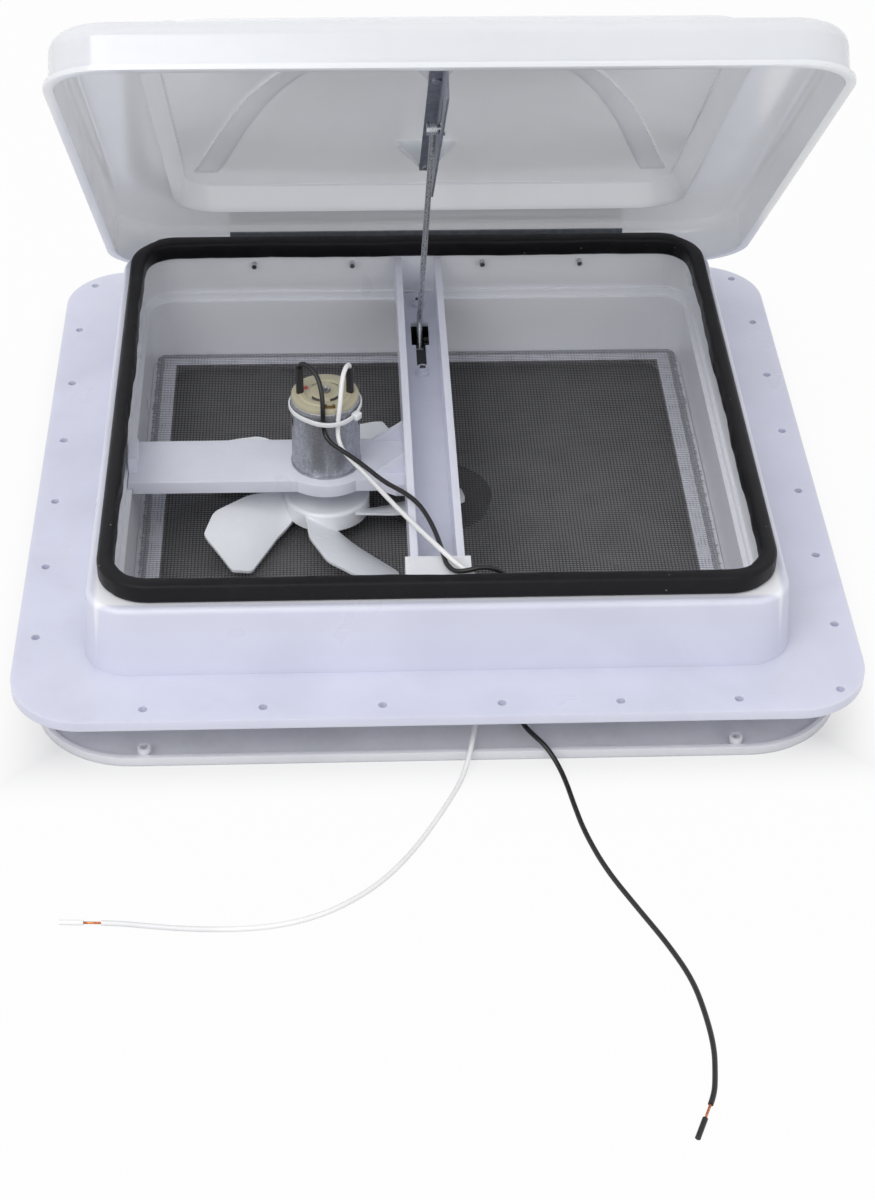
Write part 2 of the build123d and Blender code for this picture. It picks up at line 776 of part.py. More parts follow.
with BuildPart() as hinge_lid_rivets:
    for s in lid_screw_places:
        with BuildSketch(lid_skirt_plane(s, 0)):
            Circle(hinge_screw_radius)
        extrude(amount=lid_wall + hinge_leaf_thickness)
        with BuildSketch(lid_skirt_plane(s, lid_wall + hinge_leaf_thickness)):
            Circle(hinge_screw_head_radius)
        extrude(amount=hinge_screw_head / 2)
export(hinge_lid_rivets, "hinge_lid_rivets")

# Lift bracket: an angle of thin sheet whose upright web carries the arm's pin in a curved slot
bracket_right = bracket_leg_left + bracket_leg_width
slot_start = arm_pin_in_lid(-bracket_slot_spare)
slot_middle = arm_pin_in_lid(lid_open_angle / 2)
slot_end = arm_pin_in_lid(lid_open_angle + bracket_slot_spare)

with BuildSketch() as slot_sketch:
    with BuildLine():
        slot_line = ThreePointArc(slot_start, slot_middle, slot_end)
    trace(slot_line, line_width=bracket_slot_width)
    with Locations(slot_start, slot_end):
        Circle(bracket_slot_width / 2)
slot_outline = slot_sketch.sketch

with BuildPart() as lid_bracket:
    with BuildSketch(lid_plane(bracket_leg_height, bracket_middle, 0)):
        with Locations((0, -(bracket_leg_rear + bracket_leg_front) / 2)):
            Rectangle(bracket_leg_width, bracket_leg_front - bracket_leg_rear)
    extrude(amount=bracket_thickness)
    with BuildSketch(lid_side_plane(bracket_right - bracket_thickness)):
        Polygon(
            (bracket_leg_rear, bracket_leg_height + bracket_thickness),
            (bracket_leg_rear, bracket_tail_height),
            (bracket_leg_front, bracket_nose_height),
            (bracket_leg_front, bracket_leg_height + bracket_thickness),
            align=None,
        )
    extrude(amount=-bracket_thickness)
    with BuildSketch(lid_side_plane(bracket_right - bracket_thickness)):
        add(slot_outline)
    extrude(amount=-bracket_thickness, mode=Mode.SUBTRACT)
    for t in (gusset_rear, gusset_front):
        with BuildSketch(lid_plane(bracket_leg_height, bracket_middle, t)):
            Circle(bracket_rivet_radius)
        extrude(amount=bracket_thickness, mode=Mode.SUBTRACT)
export(lid_bracket, "lid_bracket")

with BuildPart() as bracket_rivets:
    for t in (gusset_rear, gusset_front):
        with BuildSketch(lid_plane(bracket_leg_height, bracket_middle, t)):
            Circle(bracket_rivet_radius)
        extrude(amount=bracket_thickness + gusset_thickness)
        with BuildSketch(lid_plane(bracket_leg_height, bracket_middle, t)):
            Circle(bracket_rivet_head_radius)
        extrude(amount=-bracket_rivet_head)
export(bracket_rivets, "bracket_rivets")

# Lift arm: a dog-legged rod from the hub on the pivot up to the eye that holds the slot pin
arm_swing = radians(arm_open_angle)
arm_kick = radians(arm_open_angle + arm_bend_angle)
arm_tip = Vector(
    arm_drift, arm_pivot_y - arm_length * cos(arm_swing), arm_pivot_z + arm_length * sin(arm_swing)
)
arm_elbow = Vector(
    0, arm_pivot_y - arm_bend_radius * cos(arm_kick), arm_pivot_z + arm_bend_radius * sin(arm_kick)
)
arm_root = Vector(0, arm_pivot_y, arm_pivot_z)
eye_left = arm_drift - arm_eye_width / 2

with BuildPart() as lift_arm:
    with BuildLine():
        rod_line = FilletPolyline(arm_root, arm_elbow, arm_tip, radius=arm_corner_radius)
    with BuildSketch(Plane(origin=rod_line @ 0, z_dir=rod_line % 0)):
        Circle(arm_rod_radius)
    sweep()
    with BuildSketch(Plane.YZ.offset(-arm_hub_width / 2)):
        with Locations((arm_pivot_y, arm_pivot_z)):
            Circle(arm_hub_radius)
    extrude(amount=arm_hub_width)
    with BuildSketch(Plane.YZ.offset(eye_left)):
        with Locations((arm_tip.Y, arm_tip.Z)):
            Circle(arm_eye_radius)
    extrude(amount=arm_eye_width)
    with BuildSketch(Plane.YZ.offset(-arm_hub_width / 2)):
        with Locations((arm_pivot_y, arm_pivot_z)):
            Circle(arm_pivot_radius + arm_pivot_clearance)
    extrude(amount=arm_hub_width, mode=Mode.SUBTRACT)
    with BuildSketch(Plane.YZ.offset(eye_left)):
        with Locations((arm_tip.Y, arm_tip.Z)):
            Circle(slot_pin_radius)
    extrude(amount=arm_eye_width, mode=Mode.SUBTRACT)
export(lift_arm, "lift_arm")

slot_pin_right = lid_offset + bracket_right + slot_pin_spare + slot_pin_head

with BuildPart() as arm_slot_pin:
    with BuildSketch(Plane.YZ.offset(eye_left)):
        with Locations((arm_tip.Y, arm_tip.Z)):
            Circle(slot_pin_radius)
    extrude(amount=slot_pin_right - eye_left)
    with BuildSketch(Plane.YZ.offset(eye_left), Plane.YZ.offset(slot_pin_right)):
        with Locations((arm_tip.Y, arm_tip.Z)):
            Circle(slot_pin_head_radius)
    extrude(amount=-slot_pin_head)
export(arm_slot_pin, "arm_slot_pin")

with BuildPart() as arm_pivot_pin:
    with BuildSketch(Plane.YZ.offset(housing_left)):
        with Locations((arm_pivot_y, arm_pivot_z)):
            Circle(arm_pivot_radius)
    extrude(amount=housing_right - housing_left)
export(arm_pivot_pin, "arm_pivot_pin")

# Worm wheel on the arm's hub, and the worm shaft below it
worm_axis_z = arm_pivot_z - worm_axis_drop
tooth_half_root_share = 0.3
tooth_half_tip_share = 0.16

with BuildPart() as worm_wheel:
    with BuildSketch(Plane.YZ.offset(arm_hub_width / 2)):
        with Locations((arm_pivot_y, arm_pivot_z)):
            Circle(wheel_root_radius)
            with PolarLocations(0, wheel_teeth):
                tooth_root = 2 * pi * wheel_root_radius / wheel_teeth * tooth_half_root_share
                tooth_tip = 2 * pi * wheel_radius / wheel_teeth * tooth_half_tip_share
                Polygon(
                    (wheel_root_radius * 0.9, -tooth_root),
                    (wheel_radius, -tooth_tip),
                    (wheel_radius, tooth_tip),
                    (wheel_root_radius * 0.9, tooth_root),
                    align=None,
                )
            Circle(arm_pivot_radius + arm_pivot_clearance, mode=Mode.SUBTRACT)
    extrude(amount=wheel_width)
export(worm_wheel, "worm_wheel")

worm_front = arm_pivot_y - worm_length / 2
bevel_rear = spindle_y + bevel_size
thread_count = int(worm_length / worm_pitch)

with BuildPart() as worm_shaft:
    with BuildSketch(Plane.XY.offset(worm_axis_z)):
        with BuildLine():
            points = [(worm_offset_x, bevel_rear), (worm_offset_x + worm_shaft_radius, bevel_rear)]
            points += [
                (worm_offset_x + worm_shaft_radius, worm_front),
                (worm_offset_x + worm_root_radius, worm_front),
            ]
            for turn in range(thread_count):
                start = worm_front + turn * worm_pitch
                points += [
                    (worm_offset_x + worm_root_radius, start + worm_pitch * 0.3),
                    (worm_offset_x + worm_radius, start + worm_pitch * 0.45),
                    (worm_offset_x + worm_radius, start + worm_pitch * 0.65),
                    (worm_offset_x + worm_root_radius, start + worm_pitch * 0.8),
                ]
            points += [
                (worm_offset_x + worm_root_radius, worm_front + worm_length),
                (worm_offset_x + worm_shaft_radius, worm_front + worm_length),
                (worm_offset_x + worm_shaft_radius, housing_rear),
                (worm_offset_x, housing_rear),
            ]
            Polyline(*points, close=True)
        make_face()
    revolve(axis=Axis((worm_offset_x, 0, worm_axis_z), (0, 1, 0)))
export(worm_shaft, "worm_shaft")

# Bevel pair that turns the drive from the crank's spindle to the worm shaft
bevel_big = bevel_size - bevel_clearance
bevel_small = bevel_nose - bevel_clearance

with BuildPart() as shaft_bevel_gear:
    with BuildSketch(Plane.XZ.offset(-bevel_rear)):
        with Locations((worm_offset_x, worm_axis_z)):
            Circle(bevel_big)
    with BuildSketch(Plane.XZ.offset(-spindle_y - bevel_nose)):
        with Locations((worm_offset_x, worm_axis_z)):
            Circle(bevel_small)
    loft()
    with BuildSketch(Plane.XZ.offset(-bevel_rear)):
        with Locations((worm_offset_x, worm_axis_z)):
            Circle(worm_root_radius + worm_shaft_radius / 2)
    extrude(amount=-worm_root_radius)
    with BuildSketch(Plane.XZ.offset(-bevel_rear)):
        with Locations((worm_offset_x, worm_axis_z)):
            Circle(worm_shaft_radius)
    extrude(amount=-worm_root_radius, mode=Mode.SUBTRACT)
export(shaft_bevel_gear, "shaft_bevel_gear")

with BuildPart() as spindle_bevel_gear:
    with BuildSketch(Plane.XY.offset(worm_axis_z - bevel_size)):
        with Locations((worm_offset_x, spindle_y)):
            Circle(bevel_big)
    with BuildSketch(Plane.XY.offset(worm_axis_z - bevel_nose)):
        with Locations((worm_offset_x, spindle_y)):
            Circle(bevel_small)
    loft()
export(spindle_bevel_gear, "spindle_bevel_gear")

with BuildPart() as crank_spindle:
    with BuildSketch(Plane.XY.offset(worm_axis_z - bevel_size)):
        with Locations((worm_offset_x, spindle_y)):
            Circle(spindle_radius)
    extrude(amount=crank_top - crank_thickness - worm_axis_z + bevel_size)
export(crank_spindle, "crank_spindle")

# Crank: a flat paddle, hub at the rear and a round grip in front of it
with BuildPart() as crank_handle:
    with BuildSketch(Plane.XY.offset(crank_top)):
        with Locations((worm_offset_x, spindle_y)):
            Circle(crank_hub_radius)
        with Locations((crank_grip_x, crank_grip_y)):
            Circle(crank_grip_radius)
    extrude(amount=-crank_thickness)
    fillet(crank_handle.faces().sort_by(Axis.Z)[0].edges(), crank_edge_radius)
    with BuildSketch(Plane.XY.offset(crank_top)):
        with Locations((worm_offset_x, spindle_y)):
            Circle(spindle_radius)
    extrude(amount=-crank_thickness, mode=Mode.SUBTRACT)
export(crank_handle, "crank_handle")

# Operator housing: a closed box below the channel, open at the top over the arm
housing_top = channel_bottom
housing_middle = (housing_left + housing_right) / 2
housing_width = housing_right - housing_left
bulkhead_y = (spindle_y + arm_pivot_y) / 2 - worm_length
ear_rear = channel_screw_rear + housing_boss_radius - housing_wall
hub_gap = 0.3

with BuildPart() as operator_housing:
    with BuildSketch(Plane.XY.offset(housing_bottom)):
        with Locations((housing_middle, (housing_front + housing_rear) / 2)):
            Rectangle(housing_width, housing_rear - housing_front)
        with Locations((worm_offset_x, spindle_y)):
            Circle(housing_boss_radius)
    extrude(amount=housing_top - housing_bottom)
    with BuildSketch(Plane.XY.offset(housing_top)):
        with Locations((housing_middle, (housing_rear + ear_rear) / 2)):
            Rectangle(housing_width, ear_rear - housing_rear)
    extrude(amount=-channel_shelf)
    with BuildSketch(Plane.XY.offset(housing_bottom + housing_wall)):
        with Locations((housing_middle, (housing_front + housing_rear) / 2)):
            Rectangle(housing_width - 2 * housing_wall, housing_rear - housing_front - 2 * housing_wall)
        with Locations((worm_offset_x, spindle_y)):
            Circle(housing_boss_radius - housing_wall)
    extrude(amount=housing_top - channel_shelf - housing_bottom - housing_wall, mode=Mode.SUBTRACT)
    with BuildSketch(Plane.XY.offset(housing_top)):
        with Locations((housing_middle, (keyhole_wide_front + keyhole_wide_rear) / 2)):
            Rectangle(housing_width - 2 * housing_wall, keyhole_wide_rear - keyhole_wide_front + housing_wall)
    extrude(amount=-channel_shelf, mode=Mode.SUBTRACT)
    with BuildSketch(Plane.XZ.offset(-bulkhead_y)):
        with Locations((housing_middle, (housing_bottom + worm_axis_z) / 2)):
            Rectangle(housing_width - housing_wall, worm_axis_z - housing_bottom)
        with Locations((worm_offset_x, worm_axis_z)):
            Circle(worm_radius)
    extrude(amount=housing_wall)
    with BuildSketch(Plane.YZ.offset(housing_left + housing_wall / 2)):
        with Locations((arm_pivot_y, arm_pivot_z)):
            Circle(arm_hub_radius)
    extrude(amount=-arm_hub_width / 2 - hub_gap - housing_left - housing_wall / 2)
    with BuildSketch(Plane.YZ.offset(housing_right - housing_wall / 2)):
        with Locations((arm_pivot_y, arm_pivot_z)):
            Circle(arm_hub_radius)
    extrude(amount=arm_hub_width / 2 + wheel_width + hub_gap - housing_right + housing_wall / 2)
    with BuildSketch(Plane.YZ.offset(housing_left)):
        with Locations((arm_pivot_y, arm_pivot_z)):
            Circle(arm_pivot_radius)
    extrude(amount=housing_width, mode=Mode.SUBTRACT)
    with BuildSketch(Plane.XZ.offset(-spindle_y)):
        with Locations((worm_offset_x, worm_axis_z)):
            Circle(worm_shaft_radius + bearing_clearance)
    extrude(amount=spindle_y - housing_rear, mode=Mode.SUBTRACT)
    with BuildSketch(Plane.XY.offset(housing_bottom)):
        with Locations((worm_offset_x, spindle_y)):
            Circle(spindle_radius + bearing_clearance)
    extrude(amount=housing_wall, mode=Mode.SUBTRACT)
    for y in (channel_screw_front, channel_screw_rear):
        with BuildSketch(Plane.XY.offset(housing_top)):
            with Locations((0, y)):
                Circle(channel_boss_radius)
        extrude(amount=-channel_screw_post)
        with BuildSketch(Plane.XY.offset(housing_top)):
            with Locations((0, y)):
                Circle(channel_screw_radius)
        extrude(amount=-channel_screw_post, mode=Mode.SUBTRACT)
export(operator_housing, "operator_housing")

# Centre channel: a U rail from the front socket to the rear shelf, with the keyhole for the arm
channel_length = channel_rear - channel_front

with BuildPart() as centre_channel:
    with BuildSketch(Plane.XZ.offset(-channel_rear)):
        with Locations((0, (channel_bottom + channel_top) / 2)):
            Rectangle(2 * channel_half, channel_top - channel_bottom)
        with Locations((0, (channel_floor_top + channel_top) / 2)):
            Rectangle(2 * (channel_half - channel_wall), channel_top - channel_floor_top, mode=Mode.SUBTRACT)
    extrude(amount=channel_length)
    with BuildSketch(Plane.XY.offset(channel_floor_top)):
        with Locations((0, channel_screw_front), (0, channel_screw_rear)):
            Circle(channel_boss_radius)
    extrude(amount=channel_boss_height)
    with BuildSketch(Plane.XY.offset(channel_floor_top + channel_boss_height)):
        with Locations((0, (keyhole_wide_rear + keyhole_wide_front) / 2)):
            Rectangle(2 * keyhole_wide_half, keyhole_wide_rear - keyhole_wide_front)
        with Locations((0, (keyhole_wide_rear + keyhole_narrow_front) / 2)):
            Rectangle(2 * keyhole_narrow_half, keyhole_wide_rear - keyhole_narrow_front)
        with Locations((0, channel_screw_front), (0, channel_screw_rear)):
            Circle(channel_screw_radius)
    extrude(amount=-channel_floor - channel_boss_height, mode=Mode.SUBTRACT)
export(centre_channel, "centre_channel")

channel_screw_seat = channel_floor_top + channel_boss_height

with BuildPart() as channel_screws:
    with BuildSketch(Plane.XY.offset(channel_screw_seat)):
        with Locations((0, channel_screw_front), (0, channel_screw_rear)):
            Circle(channel_screw_radius)
    extrude(amount=-channel_screw_length)
    with BuildSketch(Plane.XY.offset(channel_screw_seat)):
        with Locations((0, channel_screw_front), (0, channel_screw_rear)):
            Circle(channel_screw_head_radius)
    extrude(amount=channel_screw_head)
export(channel_screws, "channel_screws")

# Fan strut: a ribbed bar from the curb's left ledge to the channel, with a round collar under the motor
strut_bottom = strut_top - strut_height
strut_left = -neck_inner_half + strut_end_gap
strut_right = -channel_half
strut_middle_y = (strut_front + strut_rear) / 2
strut_width = strut_rear - strut_front
motor_place = (motor_x, motor_y)
wing_points = [
    (motor_x + strut_collar_radius, strut_front + strut_wall),
    (strut_right - strut_wall * 2, strut_front - strut_wing),
    (strut_right, strut_front - strut_wing),
    (strut_right, strut_front + strut_wall),
]

with BuildPart() as fan_strut:
    with BuildSketch(Plane.XY.offset(strut_bottom)):
        with Locations(((strut_left + strut_right) / 2, strut_middle_y)):
            Rectangle(strut_right - strut_left, strut_width)
        with Locations(motor_place):
            Circle(strut_collar_radius)
        Polygon(*wing_points, align=None)
    extrude(amount=strut_height)
    with BuildSketch(Plane.XY.offset(strut_bottom)):
        with Locations(((strut_left + strut_right) / 2, strut_middle_y)):
            Rectangle(strut_right - strut_left - 2 * strut_wall, strut_width - 2 * strut_wall)
        with Locations(motor_place):
            Circle(strut_collar_radius - strut_wall)
            Circle(strut_collar_radius / 2, mode=Mode.SUBTRACT)
    extrude(amount=strut_height - strut_wall, mode=Mode.SUBTRACT)
    with BuildSketch(Plane.XY.offset(ledge_height)):
        with Locations((strut_left, strut_middle_y)):
            Rectangle(2 * strut_tongue, strut_width)
    extrude(amount=strut_top - ledge_height)
    with BuildSketch(Plane.XY.offset(strut_top)):
        with Locations((strut_left, strut_middle_y)):
            Rectangle(2 * strut_tongue, strut_width / 2)
    extrude(amount=strut_end_tab_height)
    for y in (strut_gusset_front_y, strut_rear - strut_gusset_thickness / 2):
        with BuildSketch(Plane.XZ.offset(-y - strut_gusset_thickness / 2)):
            Polygon(
                (strut_right - strut_gusset_run, strut_top),
                (strut_right, strut_top),
                (strut_right, strut_top + strut_gusset_rise),
                align=None,
            )
        extrude(amount=strut_gusset_thickness)
    with BuildSketch(Plane.XY.offset(strut_bottom)):
        with Locations(motor_place):
            Circle(motor_boss_radius)
            with PolarLocations(motor_screw_offset, 2):
                Circle(motor_screw_radius)
    extrude(amount=strut_height, mode=Mode.SUBTRACT)
export(fan_strut, "fan_strut")

# Motor: zinc can, moulded end cap with two terminals, their sleeves and the tie that holds the leads
cap_bottom = strut_top + motor_height - motor_cap_height
cap_top = strut_top + motor_height
terminal_places = [(motor_x - terminal_offset, motor_y), (motor_x + terminal_offset, motor_y)]
shaft_top = strut_top + motor_shaft_seat
shaft_bottom = shaft_top - motor_shaft_length

with BuildPart() as motor_can:
    with BuildSketch(Plane.XY.offset(strut_top)):
        with Locations(motor_place):
            Circle(motor_can_radius)
    extrude(amount=motor_height - motor_cap_height)
    with BuildSketch(Plane.XY.offset(strut_top)):
        with Locations(motor_place):
            Circle(motor_base_ring_radius)
    extrude(amount=motor_base_ring)
    with BuildSketch(Plane.XY.offset(strut_top)):
        with Locations(motor_place):
            Circle(motor_boss_radius - strut_end_gap)
    extrude(amount=-motor_boss_height)
    with BuildSketch(Plane.XY.offset(strut_top - motor_boss_height)):
        with Locations(motor_place):
            Circle(motor_shaft_radius + bearing_clearance)
    extrude(amount=motor_boss_height + motor_shaft_seat, mode=Mode.SUBTRACT)
    with BuildSketch(Plane.XY.offset(strut_top)):
        with Locations(motor_place):
            with PolarLocations(motor_screw_offset, 2):
                Circle(motor_screw_radius)
    extrude(amount=motor_screw_grip, mode=Mode.SUBTRACT)
export(motor_can, "motor_can")

with BuildPart() as motor_end_cap:
    with BuildSketch(Plane.XY.offset(cap_bottom)):
        with Locations(motor_place):
            Circle(motor_can_radius - motor_base_ring)
    extrude(amount=motor_cap_height)
    fillet(motor_end_cap.faces().sort_by(Axis.Z)[-1].edges(), motor_cap_edge)
    with BuildSketch(Plane.XY.offset(cap_top)):
        with Locations(motor_place):
            Circle(cap_bearing_radius)
    extrude(amount=cap_bearing_height)
    with BuildSketch(Plane.XY.offset(cap_top)):
        with Locations(motor_place):
            with PolarLocations(0, 2, start_angle=90 - cap_vent_sweep / 2):
                SlotArc(
                    CenterArc((0, 0), cap_vent_radius, 0, cap_vent_sweep, mode=Mode.PRIVATE),
                    cap_vent_width,
                )
    extrude(amount=-motor_cap_height / 3, mode=Mode.SUBTRACT)
export(motor_end_cap, "motor_end_cap")

with BuildPart() as motor_terminals:
    with BuildSketch(Plane.XY.offset(cap_top)):
        with Locations(*terminal_places):
            Rectangle(terminal_thickness, terminal_width)
    extrude(amount=terminal_height)
export(motor_terminals, "motor_terminals")

sleeve_bottom = cap_top + strut_end_gap

with BuildPart() as terminal_sleeves:
    with BuildSketch(Plane.XY.offset(sleeve_bottom)):
        with Locations(*terminal_places):
            Circle(sleeve_radius)
            Circle(sleeve_radius - sleeve_wall, mode=Mode.SUBTRACT)
    extrude(amount=sleeve_height)
export(terminal_sleeves, "terminal_sleeves")

with BuildPart() as motor_shaft:
    with BuildSketch(Plane.XY.offset(shaft_bottom)):
        with Locations(motor_place):
            Circle(motor_shaft_radius)
    extrude(amount=motor_shaft_length)
export(motor_shaft, "motor_shaft")

with BuildPart() as motor_screws:
    with BuildSketch(Plane.XY.offset(strut_bottom)):
        with Locations(motor_place):
            with PolarLocations(motor_screw_offset, 2):
                Circle(motor_screw_radius)
    extrude(amount=strut_height + motor_screw_grip)
    with BuildSketch(Plane.XY.offset(strut_bottom)):
        with Locations(motor_place):
            with PolarLocations(motor_screw_offset, 2):
                Circle(motor_screw_head_radius)
    extrude(amount=-motor_screw_head)
export(motor_screws, "motor_screws")

# Fan: a cup hub pressed on the shaft with five broad blades, each lofted and then trimmed to the tip circle


def blade_section(along, lead, trail):
    """A thin cambered band across the blade, from its leading edge down to its trailing edge."""
    hub_share = min(1, along / fan_twist_reach)
    high = fan_lead_height + (1 - hub_share) * fan_hub_drop
    low = fan_trail_height + (1 - hub_share) * fan_hub_lift
    middle = (lead + trail) / 2
    crest = (high + low) / 2 + fan_camber * hub_share
    thick = fan_blade_thickness
    across_blade = Plane(origin=(motor_x + along, motor_y, 0), x_dir=(0, 1, 0), z_dir=(1, 0, 0))
    with BuildSketch(across_blade) as section:
        with BuildLine():
            ThreePointArc((lead, high), (middle, crest), (trail, low))
            Line((trail, low), (trail, low - thick))
            ThreePointArc((trail, low - thick), (middle, crest - thick), (lead, high - thick))
            Line((lead, high - thick), (lead, high))
        make_face()
    return section.sketch.faces()[0]


with BuildPart() as blade:
    loft(sections=[blade_section(*(share * fan_tip_radius for share in row)) for row in fan_section_shares])
    blade_foot = fan_trail_height - fan_blade_thickness - overrun
    with BuildSketch(Plane.XY.offset(blade_foot)) as blade_outline:
        outline_points = [
            (motor_x + along * fan_tip_radius, motor_y + across * fan_tip_radius)
            for along, across, corner_share in fan_outline_shares
        ]
        with BuildLine():
            Polyline(*outline_points, close=True)
        make_face()
        for place, (along, across, corner_share) in zip(outline_points, fan_outline_shares):
            if corner_share:
                nearest = blade_outline.vertices().sort_by_distance((*place, 0))[:1]
                fillet(nearest, corner_share * fan_tip_radius)
        with Locations(motor_place):
            Circle(fan_tip_radius, mode=Mode.INTERSECT)
            Circle(fan_hub_radius - fan_hub_wall / 2, mode=Mode.SUBTRACT)
    extrude(amount=fan_lead_height - fan_trail_height + 2 * (fan_camber + overrun), mode=Mode.INTERSECT)

with BuildPart() as fan:
    with BuildSketch(Plane.XY.offset(fan_hub_top)):
        with Locations(motor_place):
            Circle(fan_hub_radius)
    extrude(amount=-fan_hub_height)
    fillet(fan.faces().sort_by(Axis.Z)[-1].edges(), fan_hub_wall)
    with BuildSketch(Plane.XY.offset(fan_hub_top - fan_hub_wall)):
        with Locations(motor_place):
            Circle(fan_hub_radius - fan_hub_wall)
            Circle(motor_boss_radius, mode=Mode.SUBTRACT)
    extrude(amount=fan_hub_wall - fan_hub_height, mode=Mode.SUBTRACT)
    for i in range(fan_blades):
        turn = fan_blade_angle + 360 / fan_blades * i
        add(blade.part.rotate(Axis((motor_x, motor_y, 0), (0, 0, 1)), turn))
    with BuildSketch(Plane.XY.offset(fan_hub_top)):
        with Locations(motor_place):
            Circle(motor_shaft_radius)
    extrude(amount=-fan_hub_height, mode=Mode.SUBTRACT)
export(fan, "fan")

# Interior trim: a tray round the ceiling opening, its collar up inside the neck and four screw tubes
collar_half = neck_inner_half - trim_collar_clearance
trim_plate = square_plate(trim_half, trim_corner, trim_opening_half, trim_collar_corner)
trim_inside = trim_half - trim_lip_wall
trim_lip_plate = square_plate(trim_half, trim_corner, trim_inside, trim_corner - trim_lip_wall)
collar_corner = neck_corner - trim_collar_clearance
collar_plate = square_plate(collar_half, collar_corner, trim_opening_half, trim_collar_corner)
collar_core_plate = square_plate(collar_half - trim_collar_wall, trim_collar_corner - trim_flange_thickness)
tube_places = [(x, y) for x in (-trim_tube_x, trim_tube_x) for y in (-trim_tube_y, trim_tube_y)]

with BuildPart() as interior_trim:
    with BuildSketch(Plane.XY.offset(trim_bottom)):
        add(trim_plate)
    extrude(amount=trim_floor)
    with BuildSketch(Plane.XY.offset(trim_bottom)):
        add(trim_lip_plate)
    extrude(amount=trim_lip_height)
    with BuildSketch(Plane.XY.offset(trim_bottom + trim_floor)):
        add(collar_plate)
    extrude(amount=trim_flange_top - trim_bottom - trim_floor)
    with BuildSketch(Plane.XY.offset(trim_bottom)):
        add(collar_core_plate)
    extrude(amount=trim_flange_top - trim_flange_thickness - trim_bottom, mode=Mode.SUBTRACT)
    with BuildSketch(Plane.XY.offset(trim_bottom + trim_floor)):
        with Locations(*tube_places):
            Circle(trim_tube_radius)
    extrude(amount=trim_tube_height)
    with BuildSketch(Plane.XY.offset(trim_bottom)):
        with Locations(*tube_places):
            Circle(trim_tube_bore)
    extrude(amount=trim_floor + trim_tube_height, mode=Mode.SUBTRACT)
export(interior_trim, "interior_trim")

# Insect screen: one flat net on the trim's inner flange, with a hole for the crank's spindle
screen_half = neck_inner_half - screen_edge_clearance
screen_pitch = 2 * (trim_opening_half - screen_margin) / screen_gaps

with BuildPart() as insect_screen:
    with BuildSketch(Plane.XY.offset(trim_flange_top)):
        RectangleRounded(2 * screen_half, 2 * screen_half, neck_corner - screen_edge_clearance)
        with GridLocations(screen_pitch, screen_pitch, screen_gaps, screen_gaps):
            Rectangle(screen_pitch - screen_bar, screen_pitch - screen_bar, mode=Mode.SUBTRACT)
        with Locations((worm_offset_x, spindle_y)):
            Circle(screen_spindle_hole + screen_bar)
            Circle(screen_spindle_hole, mode=Mode.SUBTRACT)
    extrude(amount=screen_thickness)
export(insect_screen, "insect_screen")

# Leads: limp wire from the motor's terminals over the channel, down through the neck and out to bare ends
lead_floor = trim_bottom + lead_radius
black_route = [
    (-70.7, -13.2, 78.0),
    (-70.7, -13.2, 82.0),
    (-69.1, -14.0, 83.9),
    (-65.6, -16.9, 84.0),
    (-62.2, -20.8, 82.4),
    (-59.8, -25.4, 79.0),
    (-58.5, -30.0, 74.0),
    (-58.2, -33.2, 67.0),
    (-58.2, -34.1, 60.5),
    (-58.0, -34.3, 52.2),
    (-54.9, -36.0, 46.8),
    (-49.5, -39.4, 44.2),
    (-43.2, -45.2, 43.2),
    (-35.2, -56.2, 43.7),
    (-25.6, -72.8, 45.7),
    (-15.7, -84.8, 47.8),
    (-8.2, -95.0, 47.6),
    (-3.0, -107.5, 46.2),
    (0.2, -121.0, 46.2),
    (1.9, -133.5, 47.8),
    (3.0, -143.4, 48.9),
    (4.2, -150.6, 49.0),
    (8.0, -156.6, 49.2),
    (14.2, -158.3, 51.2),
    (21.4, -157.4, 52.8),
    (28.6, -156.9, 51.2),
    (34.4, -156.8, 46.4),
    (38.0, -156.9, 37.0),
    (39.6, -157.2, 22.0),
    (40.2, -157.6, 2.0),
    (40.0, -158.6, -10.6),
    (40.1, -162.6, -17.4),
    (40.3, -169.6, -19.7),
    (40.6, -181.6, -20.3),
    (41.8, -194.4, -20.2),
    (46.4, -202.6, -20.4),
    (52.8, -209.8, -22.2),
    (58.4, -218.2, -26.9),
    (62.0, -229.5, -29.4),
    (64.6, -246.0, -29.7),
    (68.2, -266.0, -29.7),
    (76.2, -292.0, -29.7),
    (88.8, -318.4, -29.7),
    (100.6, -342.4, -29.7),
    (109.2, -364.6, -29.7),
    (112.6, -386.0, -29.7),
    (113.9, -406.0, -29.7),
    (112.2, -421.6, -29.7),
    (110.5, -432.2, -29.7),
    (108.0, -438.0, -29.7),
]
